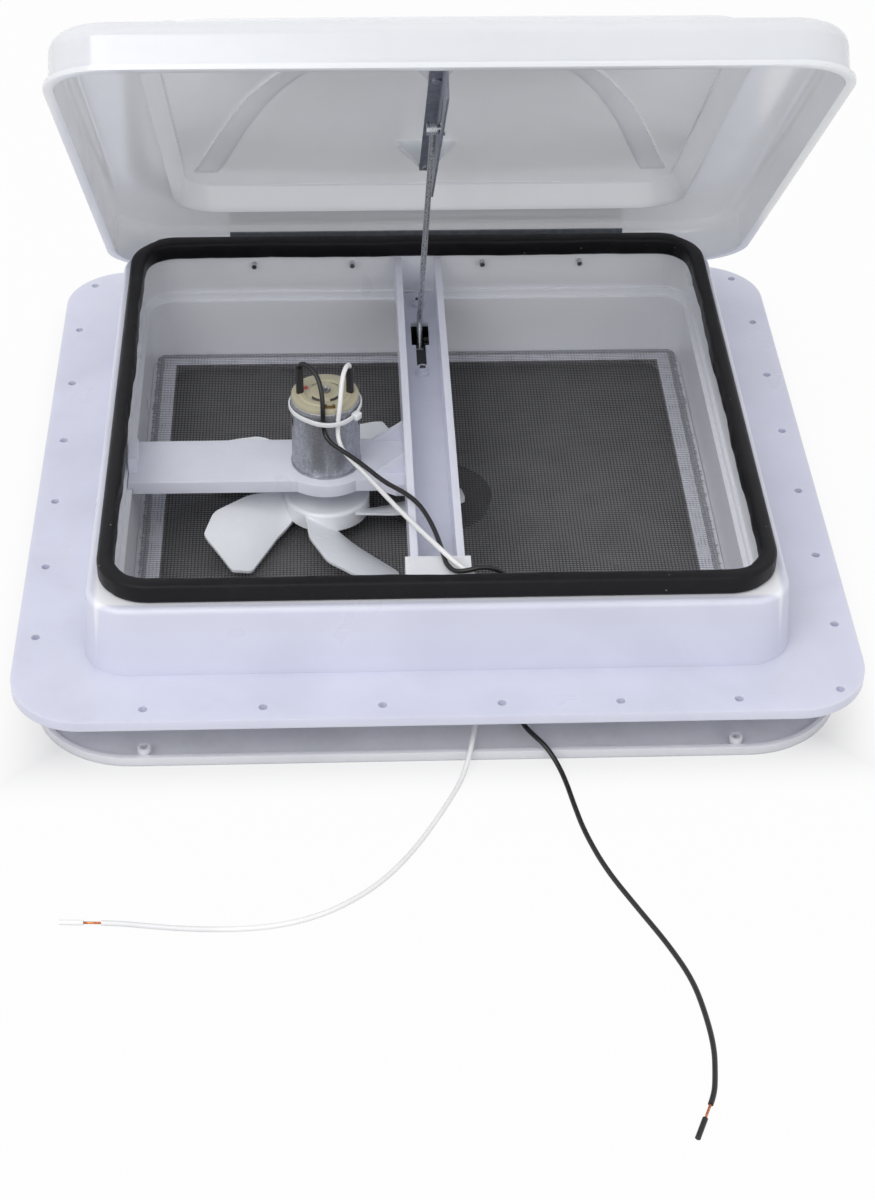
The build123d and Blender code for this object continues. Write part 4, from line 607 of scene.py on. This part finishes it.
def seal_finish():
    """Satin black foam rubber with a skin, pits and a faint bloom."""
    finish, tree, shader = new_finish("Rim seal rubber", IOR=1.45, Specular_IOR_Level=0.22)
    place_in = node(tree, "TexCoord").outputs["Object"]
    bloom = cloudy(tree, place_in, 60.0, 6.0, roughness=0.7)
    pits = node(tree, "TexVoronoi", [("Vector", place_in), ("Scale", 1500.0)]).outputs["Distance"]
    colour = blend_tones(tree, band(tree, bloom, 0.45, 0.8), colours().seal, tone(26, 25, 29))
    specks = node(tree, "TexVoronoi", [("Vector", place_in), ("Scale", 95.0)]).outputs["Distance"]
    colour = blend_tones(tree, band(tree, specks, 0.035, 0.05), tone(120, 119, 118), colour)
    tree.links.new(colour, shader.inputs["Base Color"])
    tree.links.new(band(tree, bloom, 0.3, 0.8, 0.36, 0.54), shader.inputs["Roughness"])
    rise(tree, shader, pits, 0.25, 0.0004)
    return finish


class VENT_OT_rim_seal(bpy.types.Operator):
    """Makes the soft rim seal, a rounded ring whose inner edge wanders and whose rear sits back."""

    bl_idname = "vent.rim_seal"
    bl_label = "Rim seal"

    def execute(self, context):
        low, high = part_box("rim_seal")
        spread, width, corner = 1.3 * MM, 8.3 * MM, 27.0 * MM
        rear_from, rear_fade, rear_shift, rear_bulge = 120 * MM, 40 * MM, 1.0 * MM, 1.4 * MM
        half = high.x + spread
        inner_part = 0.55 * width
        deselect()
        bpy.ops.mesh.primitive_plane_add(size=2 * half, location=(0, 0, low.z))
        ring = bpy.context.object
        ring.name = "soft_rim_seal"
        shape(ring, lambda: bpy.ops.mesh.bevel(offset=corner, segments=14, affect="VERTICES"))
        shape(ring, lambda: bpy.ops.mesh.inset(thickness=width, use_even_offset=True))
        centre = [face for face in ring.data.polygons if len(face.vertices) > 4]
        middle = {face.index for face in centre}
        shape(ring, lambda: bpy.ops.mesh.delete(type="FACE"), faces=lambda face: face.index in middle)

        def long_side(a, b):
            return (a - b).length > 4 * corner

        shape(ring, lambda: bpy.ops.mesh.subdivide(number_cuts=45), edges=long_side)
        shape(ring, lambda: bpy.ops.mesh.extrude_region_move(
            TRANSFORM_OT_translate={"value": (0, 0, high.z - low.z)}), faces=lambda face: True)
        shape(ring, lambda: bpy.ops.mesh.normals_make_consistent(inside=False))
        soften(ring, 2.0 * MM, 3, 40)
        wave = sizes().seal_wave
        for point in ring.data.vertices:
            x, y, z = point.co
            reach = max(abs(x), abs(y))
            if reach < half - inner_part:
                along = x if abs(y) > abs(x) else y
                side = 1 if abs(y) > abs(x) else 2
                turn = (sin(along * 61 + side) + 0.6 * sin(along * 157 + 2.3 * side + y * 3)
                        + 0.4 * sin(along * 331 + x))
                share = (half - inner_part - reach) / (width - inner_part)
                move = wave * turn * min(1.0, max(0.0, share)) * 0.6
                if abs(y) > abs(x):
                    point.co.y += move if y > 0 else -move
                else:
                    point.co.x += move if x > 0 else -move
            if y > rear_from:
                outer = rear_bulge if y > half - 0.5 * width else 0.0
                point.co.y += (rear_shift + outer) * min(1.0, (y - rear_from) / rear_fade)
            if z > low.z + 5 * MM:
                point.co.z += 0.25 * MM * sin(x * 43 + y * 29) - 0.25 * MM
        take(ring)
        bpy.ops.object.shade_smooth()
        fit(ring, "body", seal_finish())
        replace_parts(ring, "rim_seal")
        return {"FINISHED"}


def net_finish():
    """Dark grey coated wire, painted a lighter grey beyond the opening as a lit copy where it lies on
    the white trim.
    """
    finish, tree, shader = new_finish("Screen wire", IOR=1.5, Metallic=0.35)
    place_in = node(tree, "TexCoord").outputs["Object"]
    tarnish = cloudy(tree, place_in, 45.0, 5.0)
    colour = blend_tones(tree, band(tree, tarnish, 0.35, 0.7), colours().screen, tone(102, 101, 103))
    # Painted light: beyond the opening the same wire is painted a lighter grey, a lit copy of it where
    # it lies on the white trim.
    painted_light_border = band(tree, farther(tree, split(tree, place_in)), SCREEN_OPENING - MM, SCREEN_OPENING + MM)
    colour = blend_tones(tree, painted_light_border, colour, tone(176, 177, 182))
    tree.links.new(colour, shader.inputs["Base Color"])
    tree.links.new(band(tree, tarnish, 0.2, 0.8, 0.38, 0.5), shader.inputs["Roughness"])
    return finish


class VENT_OT_insect_screen(bpy.types.Operator):
    """Weaves the insect screen from crossed wires and welds its rim to the trim."""

    bl_idname = "vent.insect_screen"
    bl_label = "Insect screen"

    def execute(self, context):
        low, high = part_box("insect_screen")
        pitch, wire = sizes().mesh_pitch, sizes().mesh_wire
        reach = 163.0 * MM
        count = int(2 * reach / pitch)
        floor = low.z
        strands = []
        for turn, level in ((0, 0.5), (1, 1.35)):
            first = -pitch * (count - 1) / 2
            start = (first, 0) if turn == 0 else (0, first)
            strand = cylinder(wire / 2, 2 * reach, (*start, floor + wire * level), 5,
                              rotation=(pi / 2, 0, 0) if turn == 0 else (0, pi / 2, 0))
            step = (pitch, 0, 0) if turn == 0 else (0, pitch, 0)
            modify(strand, "ARRAY", count=count, use_relative_offset=False,
                   use_constant_offset=True, constant_offset_displace=step)
            strands.append(strand)
        net = join(strands, "woven_screen")
        for index, point in enumerate(net.data.vertices):
            fray = (sin(index // 5 * 12.9898) * 43758.5453) % 1.0
            for axis in (0, 1):
                if abs(point.co[axis]) > reach - 0.1 * MM:
                    point.co[axis] *= 1 - 0.02 * fray
        crank_hole, hole_reach = Vector((4.2 * MM, 50 * MM, floor)), 7.3 * MM

        def over_hole(a, b):
            across = a.x if abs(a.x - b.x) < MM else a.y
            middle = crank_hole.x if abs(a.x - b.x) < MM else crank_hole.y
            return (a - b).length > reach and abs(across - middle) < hole_reach

        shape(net, lambda: bpy.ops.mesh.subdivide(number_cuts=count), edges=over_hole)
        shape(net, lambda: bpy.ops.mesh.delete(type="FACE"),
              faces=lambda face: (face.center - crank_hole).length < hole_reach)
        fit(net, "body", net_finish())
        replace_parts(net, "insect_screen")

        deselect()
        rim_width, ridge, rim_height = 8 * MM, 2.6 * MM, 1.1 * MM
        bpy.ops.mesh.primitive_plane_add(size=2 * (SCREEN_OPENING + rim_width),
                                         location=(0, 0, floor - 0.2 * MM))
        weld = bpy.context.object
        weld.name = "screen_weld"
        for _ in range(3):
            shape(weld, lambda: bpy.ops.mesh.inset(thickness=ridge, use_even_offset=True),
                  faces=lambda face: face.center.length < MM)
        shape(weld, lambda: bpy.ops.mesh.delete(type="FACE"),
              faces=lambda face: face.center.length < MM)
        shape(weld, lambda: bpy.ops.mesh.subdivide(number_cuts=70),
              edges=lambda a, b: (a - b).length > 100 * MM)
        shape(weld, lambda: bpy.ops.mesh.extrude_region_move(
            TRANSFORM_OT_translate={"value": (0, 0, rim_height)}), faces=lambda face: True)
        shape(weld, lambda: bpy.ops.mesh.normals_make_consistent(inside=False))
        for point in weld.data.vertices:
            if point.co.z > floor + 0.5 * MM:
                out = max(abs(point.co.x), abs(point.co.y)) - SCREEN_OPENING
                point.co.z += 0.25 * MM * cos(out / ridge * 2 * pi) - 0.1 * MM
        soften(weld, 0.35 * MM, 2, 50)
        smooth(weld, 50)
        fit(weld, "body", weld_finish())
        return {"FINISHED"}


def weld_finish():
    """White plastic melted through the mesh, so that the weave prints through it."""
    finish, tree, shader = new_finish("Welded rim plastic", IOR=1.5)
    place_in = node(tree, "TexCoord").outputs["Object"]
    parts = split(tree, place_in)
    scale = 2 * pi / sizes().mesh_pitch
    waves = []
    for axis in ("X", "Y"):
        turned = reckon(tree, "MULTIPLY", parts.outputs[axis], scale)
        waves.append(reckon(tree, "COSINE", turned))
    print_through = reckon(tree, "MAXIMUM", waves[0], waves[1])
    blotch = cloudy(tree, place_in, 90.0, 4.0)
    shade = reckon(tree, "MULTIPLY", band(tree, print_through, 0.2, 1.0), band(tree, blotch, 0.4, 0.65))
    colour = blend_tones(tree, shade, tone(222, 223, 232), tone(150, 150, 156))
    tree.links.new(colour, shader.inputs["Base Color"])
    tree.links.new(band(tree, blotch, 0.2, 0.8, 0.3, 0.5), shader.inputs["Roughness"])
    rise(tree, shader, print_through, 0.5, 0.0003)
    return finish


def motor_middle():
    """The middle of the motor's end cap, which stands on the motor's axis."""
    low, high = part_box("motor_end_cap")
    return (low + high) / 2


def can_finish():
    """Zinc plated steel: mottled grey, a dark line at its foot and painted shade for two slots near its
    top.
    """
    finish = metal("Zinc motor can", tone(186, 188, 193), tone(158, 160, 166), 0.36, patch=900.0,
                   streak=420.0, stretch=(1.0, 1.0, 0.3), relief=0.08, metallic=0.8)
    tree = finish.node_tree
    middle = motor_middle()
    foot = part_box("motor_can")[0].z
    slot_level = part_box("motor_end_cap")[1].z - 17.0 * MM
    slot_set_out, slot_forward = 17.0 * MM, 5.0 * MM
    slot_half_width, slot_half_height, slot_edge = 1.3 * MM, 2.4 * MM, 0.3 * MM
    spot = split(tree)
    across = reckon(tree, "ABSOLUTE", reckon(tree, "SUBTRACT", spot.outputs["X"], middle.x))
    # Painted shade: the two slots are not cut, only painted dark as the shade inside them.
    painted_slot_shade = reckon(tree, "MULTIPLY", band(tree, across, slot_set_out, slot_set_out + 0.4 * MM),
                  near(tree, spot.outputs["Y"], middle.y - slot_forward, slot_half_width, slot_edge))
    painted_slot_shade = reckon(tree, "MULTIPLY", painted_slot_shade,
                  near(tree, spot.outputs["Z"], slot_level, slot_half_height, slot_edge))
    foot_line = band(tree, spot.outputs["Z"], foot + 1.1 * MM, foot + 1.5 * MM, 1.0, 0.0)
    repaint(finish, reckon(tree, "MAXIMUM", painted_slot_shade, foot_line), tone(40, 41, 45))
    return finish


def cap_finish():
    """Khaki moulded cap with the painted shade of its curved vents and a red mark beside the left
    terminal.
    """
    finish = plastic("Motor cap plastic", tone(190, 184, 158), tone(172, 166, 139), 0.4, marks=0.8)
    tree = finish.node_tree
    middle = motor_middle()
    vent_reach, vent_half_width = 9.2 * MM, 0.55 * MM
    vent_from, vent_to = 2.6 * MM, 7.0 * MM
    mark_at, mark_reach = (-11.0 * MM, 4.0 * MM, 0.0), 1.6 * MM
    place_in = node(tree, "TexCoord").outputs["Object"]
    local = node(tree, "VectorMath", [(0, place_in), (1, (middle.x, middle.y, 0.0))],
                 operation="SUBTRACT").outputs[0]
    flat = node(tree, "VectorMath", [(0, local), (1, (1.0, 1.0, 0.0))], operation="MULTIPLY").outputs[0]
    reach = node(tree, "VectorMath", [(0, flat)], operation="LENGTH").outputs["Value"]
    across = reckon(tree, "ABSOLUTE", split(tree, flat).outputs["X"])
    # Painted shade: the curved vents are not cut, only painted dark as the shade inside them.
    vent = reckon(tree, "MULTIPLY", band(tree, across, vent_from, vent_from + 0.4 * MM),
                  band(tree, across, vent_to, vent_to + 0.4 * MM, 1.0, 0.0))
    vent = reckon(tree, "MULTIPLY", near(tree, reach, vent_reach, vent_half_width, 0.3 * MM), vent)
    mark = node(tree, "VectorMath", [(0, flat), (1, mark_at)], operation="DISTANCE").outputs["Value"]
    worn = cloudy(tree, place_in, 700.0, 3.0)
    mark = reckon(tree, "MULTIPLY", band(tree, mark, mark_reach, mark_reach + 0.8 * MM, 1.0, 0.0),
                  band(tree, worn, 0.35, 0.6))
    repaint(finish, mark, tone(190, 70, 62))
    repaint(finish, vent, tone(40, 38, 33))
    return finish


def turned_cap():
    """The motor's end cap: a disc with a rounded rim, a raised ring and a collar for the bearing."""
    middle = motor_middle()
    radius, thickness = 18.5 * MM, 3.4 * MM
    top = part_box("motor_end_cap")[1].z - 1.6 * MM
    cap = cylinder(radius, thickness, (middle.x, middle.y, top - thickness / 2))
    cap.name = "turned_motor_cap"
    steps = ((4.0, 0.0), (0.5, 0.7), (3.0, 0.0), (0.4, -0.5), (1.6, 0.0), (0.5, 0.9), (1.6, 0.0))
    for inset, lift in steps:
        shape(cap, lambda: bpy.ops.mesh.inset(thickness=inset * MM), faces=is_round_top)
        if lift:
            shape(cap, lambda: bpy.ops.transform.translate(value=(0, 0, lift * MM)), faces=is_round_top)
    soften(cap, 0.35 * MM, 2, 35)
    return smooth(cap)


def can_top():
    """The upper rim of the can, a short tube rolled inwards over the cap's edge."""
    low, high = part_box("motor_end_cap")
    middle = motor_middle()
    head = high.z - 4.2 * MM
    rim = cylinder(19.0 * MM, head - low.z, (middle.x, middle.y, (low.z + head) / 2))
    rim.name = "motor_can_rim"
    shape(rim, lambda: bpy.ops.mesh.inset(thickness=0.7 * MM), faces=is_round_top)
    soften(rim, 0.4 * MM, 3, 60)
    return smooth(rim)


def nylon_tie():
    """The cable tie: a thin band round the can and the leads, with its head."""
    middle = motor_middle()
    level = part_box("cable_tie")[1].z + 1.5 * MM
    width, thickness, tilt = 2.6 * MM, 1.0 * MM, 0.8 * MM
    bulge, bulge_way, tilt_way = 0.205, radians(-76), 2.4
    head_reach, head_way = 21.6 * MM, radians(-38)
    tie = cylinder(19.3 * MM, width, (middle.x, middle.y, level), 128, end_fill_type="NOTHING")
    for point in tie.data.vertices:
        flat = Vector((point.co.x - middle.x, point.co.y - middle.y))
        turn = atan2(flat.y, flat.x)
        from_leads = (turn - bulge_way + pi) % (2 * pi) - pi
        out = 1 + bulge * max(0.0, cos(from_leads)) ** 5
        point.co.x = middle.x + flat.x * out
        point.co.y = middle.y + flat.y * out
        point.co.z += tilt * sin(turn + tilt_way)
    modify(tie, "SOLIDIFY", thickness=thickness, offset=1.0)
    soften(tie, 0.25 * MM, 2, 50)
    head = block((4.4 * MM, 4.8 * MM, 4.0 * MM),
                 (middle.x + head_reach * cos(head_way), middle.y + head_reach * sin(head_way), level),
                 rotation=(0, 0, head_way))
    soften(head, 0.8 * MM, 3)
    return smooth(join([tie, head], "nylon_cable_tie"))


def cap_bearing():
    """The steel bearing in the middle of the cap: a turned ring with a hollow and a pin."""
    middle = motor_middle()
    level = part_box("motor_end_cap")[1].z + 0.1 * MM
    ring = cylinder(3.0 * MM, 1.6 * MM, (middle.x, middle.y, level), 48)
    ring.name = "cap_bearing"
    shape(ring, lambda: bpy.ops.mesh.inset(thickness=0.8 * MM), faces=is_round_top)
    shape(ring, lambda: bpy.ops.transform.translate(value=(0, 0, -1.0 * MM)), faces=is_round_top)
    shape(ring, lambda: bpy.ops.mesh.inset(thickness=1.2 * MM), faces=is_round_top)
    shape(ring, lambda: bpy.ops.mesh.extrude_region_move(
        TRANSFORM_OT_translate={"value": (0, 0, 1.2 * MM)}), faces=is_round_top)
    soften(ring, 0.2 * MM, 2, 40)
    return smooth(ring)


def cap_bridge():
    """The small brass bridge on the front of the cap, two feet and a bar between them."""
    low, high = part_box("motor_end_cap")
    middle = motor_middle().x + 2.5 * MM
    bar = block((6.0 * MM, 1.6 * MM, 1.2 * MM), (middle, low.y + 2.4 * MM, high.z - 1.2 * MM))
    bar.name = "cap_bridge"
    shape(bar, lambda: bpy.ops.mesh.subdivide(number_cuts=3), edges=lambda a, b: abs(a.x - b.x) > MM)
    shape(bar, lambda: bpy.ops.mesh.extrude_region_move(
        TRANSFORM_OT_translate={"value": (0, 0, 1.0 * MM)}),
        faces=lambda face: face.normal.z > 0.9 and abs(face.center.x - middle) > 1.6 * MM)
    return soften(bar, 0.25 * MM, 2, 40)


class VENT_OT_motor(bpy.types.Operator):
    """Finishes the fan motor, its end cap, terminals, sleeves and tie."""

    bl_idname = "vent.motor"
    bl_label = "Motor"

    def execute(self, context):
        dress(can_finish(), "motor_can")
        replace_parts(fit(turned_cap(), "body", cap_finish()), "motor_end_cap")
        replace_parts(fit(can_top(), "body", can_finish()), "motor_end_cap")
        dark = plastic("Terminal sleeve plastic", tone(34, 32, 34), tone(44, 42, 44), 0.4)
        nylon = plastic("Cable tie nylon", tone(236, 237, 238), tone(226, 227, 230), 0.3)
        brass = metal("Terminal brass", tone(190, 160, 90), tone(150, 122, 66), 0.3)
        steel = metal("Bearing steel", tone(176, 176, 178), tone(120, 120, 122), 0.25, patch=900.0,
                      metallic=0.9)
        dull = metal("Dull brass", tone(150, 128, 84), tone(110, 94, 60), 0.4)
        dress(dark, "terminal_sleeves")
        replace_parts(fit(nylon_tie(), "body", nylon), "cable_tie")
        dress(brass, "motor_terminals")
        fit(cap_bearing(), "body", steel)
        fit(cap_bridge(), "body", dull)
        return {"FINISHED"}


class VENT_OT_fan(bpy.types.Operator):
    """Finishes the fan and its shaft."""

    bl_idname = "vent.fan"
    bl_label = "Fan"

    def execute(self, context):
        white = plastic("Fan plastic", colours().blades, tone(241, 244, 249), 0.24, relief=0.03,
                        marks=0.5, dust=0.08, dust_tone=tone(170, 168, 164), coat=0.2)
        dress(white, "fan")
        return {"FINISHED"}


def screw_cross(name, middle):
    """The cross of a screw's recess: a thin raised cross of two short crossed bars."""
    deselect()
    bpy.ops.mesh.primitive_circle_add(vertices=8, radius=0.55 * MM, fill_type="NGON", location=middle,
                                      rotation=(0, 0, pi / 8))
    cross = bpy.context.object
    cross.name = name
    place(cross)
    shape(cross, lambda: bpy.ops.mesh.extrude_region_move(
        TRANSFORM_OT_translate={"value": (0, 0, 0.06 * MM)}), faces=lambda face: True)
    for turn in range(4):
        way = Vector((cos(turn * pi / 2), sin(turn * pi / 2), 0))
        shape(cross, lambda: bpy.ops.mesh.extrude_region_move(
            TRANSFORM_OT_translate={"value": way * 1.3 * MM}),
            faces=lambda face: face.normal.dot(way) > 0.99)
    soften(cross, 0.02 * MM, 1, 40)
    return cross


def leaf_lip():
    """The turned edge of the hinge's lid leaf, a thin strip against the inside of the lid."""
    low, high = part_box("hinge_lid_leaf")
    lip = block((high.x - low.x, 1.2 * MM, 3.0 * MM), ((low.x + high.x) / 2, 198.57 * MM, 43.23 * MM),
                rotation=(radians(-7.2), 0, 0))
    lip.name = "hinge_leaf_lip"
    return soften(lip, 0.2 * MM)


class VENT_OT_lift_gear(bpy.types.Operator):
    """Finishes the hinge, lid bracket, lift arm, worm gear and crank."""

    bl_idname = "vent.lift_gear"
    bl_label = "Hinge and lift gear"

    def execute(self, context):
        galvanised = metal("Galvanised strip", tone(156, 161, 172), tone(140, 145, 157), 0.4,
                           patch=500.0, streak=90.0, metallic=0.5)
        hinge = metal("Hinge strip", tone(142, 147, 155), tone(126, 131, 139), 0.42, patch=300.0,
                      streak=120.0, stretch=(0.2, 1.0, 1.0), metallic=0.25)
        wire = metal("Plated wire", tone(206, 208, 211), tone(184, 187, 191), 0.26, patch=2400.0,
                     streak=600.0, stretch=(1.0, 1.0, 0.1), metallic=0.7)
        painted = plastic("Painted screw head", tone(226, 228, 240), tone(206, 208, 222), 0.35,
                          marks=0.6)
        bright = metal("Bright plated steel", tone(206, 208, 212), tone(168, 170, 176), 0.2,
                       patch=700.0, streak=160.0, stretch=(1.0, 1.0, 0.1))
        black = plastic("Black gear plastic", tone(26, 26, 28), tone(38, 38, 41), 0.42, grain=1800.0,
                        relief=0.15, marks=0.7)
        dress(galvanised, "lid_bracket")
        dress(hinge, "hinge_base_leaf", "hinge_lid_leaf")
        fit(leaf_lip(), "lid_body", hinge)
        dress(bright, "hinge_pin", "hinge_curb_screws", "hinge_lid_rivets", "bracket_rivets",
              "arm_slot_pin", "arm_pivot_pin", "worm_shaft", "crank_spindle", "motor_screws",
              "motor_shaft")
        dress(wire, "lift_arm")
        dress(painted, "channel_screws")
        dress(black, "worm_wheel", "shaft_bevel_gear", "spindle_bevel_gear", "crank_handle",
              "operator_housing")
        # Painted shade: the thin cross on each white screw head is painted dark as the shade in its
        # recess.
        shadow = plastic("Screw recess painted shade", tone(86, 87, 96), tone(70, 71, 80), 0.5)
        low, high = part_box("channel_screws")
        head_radius = 3.2 * MM
        for name, y in (("front_screw_cross", low.y + head_radius),
                        ("rear_screw_cross", high.y - head_radius)):
            fit(screw_cross(name, (0.0, y, high.z)), "body", shadow)
        return {"FINISHED"}


# Studio


def seen_rays(tree):
    """1 for rays from the camera, straight, mirrored or through glass, so that they see white."""
    rays = node(tree, "LightPath").outputs
    seen = reckon(tree, "MAXIMUM", rays["Is Camera Ray"], rays["Is Glossy Ray"])
    return reckon(tree, "MAXIMUM", seen, rays["Is Transmission Ray"])


def floor_finish(studio):
    """A pale floor that the camera sees as near white, with the shadows kept."""
    finish, tree, shader = new_finish("Studio floor", Roughness=0.85, Base_Color=studio.floor_tone,
                                      Specular_IOR_Level=0.2)
    glow_from, glow_to, glow_share = 0.16, 0.24, 0.96
    around = band(tree, farther(tree, split(tree)), glow_from, glow_to, 0.0, glow_share)
    share = reckon(tree, "MULTIPLY", seen_rays(tree), around)
    glow = node(tree, "Emission", [("Color", (1, 1, 1, 1)), ("Strength", 1.0)])
    mix = node(tree, "MixShader", [(0, share), (1, shader.outputs[0]), (2, glow.outputs[0])])
    tree.links.new(mix.outputs[0], tree.nodes["Material Output"].inputs["Surface"])
    return finish


def light(name, place_at, aim, power, width):
    """One square soft light turned to a point."""
    deselect()
    bpy.ops.object.light_add(type="AREA", location=place_at)
    made = bpy.context.object
    made.name = name
    made.data.shape = "SQUARE"
    made.data.size = width
    made.data.energy = power
    turn = (Vector(aim) - Vector(place_at)).to_track_quat("-Z", "Y")
    made.rotation_euler = turn.to_euler()
    return made


class VENT_OT_studio(bpy.types.Operator):
    """Adds the floor, sky, lights and camera."""

    bl_idname = "vent.studio"
    bl_label = "Studio"

    def execute(self, context):
        studio = context.scene.vent_studio
        deselect()
        bpy.ops.mesh.primitive_plane_add(size=14.0, location=(0, 0, -0.031))
        floor = bpy.context.object
        floor.name = "studio_floor"
        place(floor)
        floor.data.materials.append(floor_finish(studio))

        world = bpy.data.worlds.new("Studio sky")
        context.scene.world = world
        world.use_nodes = True
        tree = world.node_tree
        level = band(tree, seen_rays(tree), 0.0, 1.0, studio.sky_level, 1.0)
        tree.nodes["Background"].inputs["Color"].default_value = (1, 1, 1, 1)
        tree.links.new(level, tree.nodes["Background"].inputs["Strength"])

        light("key_light", (-0.9, -1.4, 2.0), (0, 0, 0.05), studio.key_power, 1.5)
        light("front_light", (0.9, -2.2, 1.2), (0, 0.15, 0.1), studio.key_power * 0.2, 1.2)

        around, above, roll = radians(-2.863), radians(38.27), radians(0.85)
        back = Vector((sin(around) * cos(above), -cos(around) * cos(above), sin(above)))
        side = Vector((0, 0, 1)).cross(back).normalized()
        up = back.cross(side)
        turn = Matrix((side, up, back)).transposed() @ Matrix.Rotation(roll, 3, "Z")
        deselect()
        bpy.ops.object.camera_add(location=(-0.04879, -1.11891, 0.79135), rotation=turn.to_euler())
        camera = context.object
        camera.name = "photo_camera"
        camera.data.sensor_width = 36.0
        camera.data.lens = 72.0
        camera.data.clip_start = 0.01
        context.scene.camera = camera
        context.scene.view_settings.view_transform = "Standard"
        return {"FINISHED"}


class VENT_PT_panel(bpy.types.Panel):
    """Lists the pieces, sizes and colours of the vent."""

    bl_label = "Roof vent"
    bl_idname = "VENT_PT_panel"
    bl_space_type = "VIEW_3D"
    bl_region_type = "UI"
    bl_category = "Roof Vent"

    def draw(self, context):
        layout = self.layout
        for holder in (context.scene.vent_sizes, context.scene.vent_colours, context.scene.vent_studio):
            box = layout.box()
            for name in type(holder).__annotations__:
                box.prop(holder, name)
        column = layout.column(align=True)
        for operator in OPERATORS:
            column.operator(operator.bl_idname)


OPERATORS = (VENT_OT_studio, VENT_OT_mouldings, VENT_OT_lid, VENT_OT_rim_seal, VENT_OT_insect_screen,
             VENT_OT_motor, VENT_OT_fan, VENT_OT_lift_gear, VENT_OT_leads)
CLASSES = (VentSizes, VentColours, StudioSettings, *OPERATORS, VENT_PT_panel)


def register():
    for kind in CLASSES:
        bpy.utils.register_class(kind)
    bpy.types.Scene.vent_sizes = bpy.props.PointerProperty(type=VentSizes)
    bpy.types.Scene.vent_colours = bpy.props.PointerProperty(type=VentColours)
    bpy.types.Scene.vent_studio = bpy.props.PointerProperty(type=StudioSettings)


def unregister():
    for name in ("vent_studio", "vent_colours", "vent_sizes"):
        delattr(bpy.types.Scene, name)
    for kind in reversed(CLASSES):
        bpy.utils.unregister_class(kind)


def main():
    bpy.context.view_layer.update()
    register()
    bpy.ops.vent.studio()
    bpy.ops.vent.mouldings()
    bpy.ops.vent.lid()
    bpy.ops.vent.rim_seal()
    bpy.ops.vent.insect_screen()
    bpy.ops.vent.motor()
    bpy.ops.vent.fan()
    bpy.ops.vent.lift_gear()
    bpy.ops.vent.leads()
    deselect()


if __name__ == "__main__":
    main()
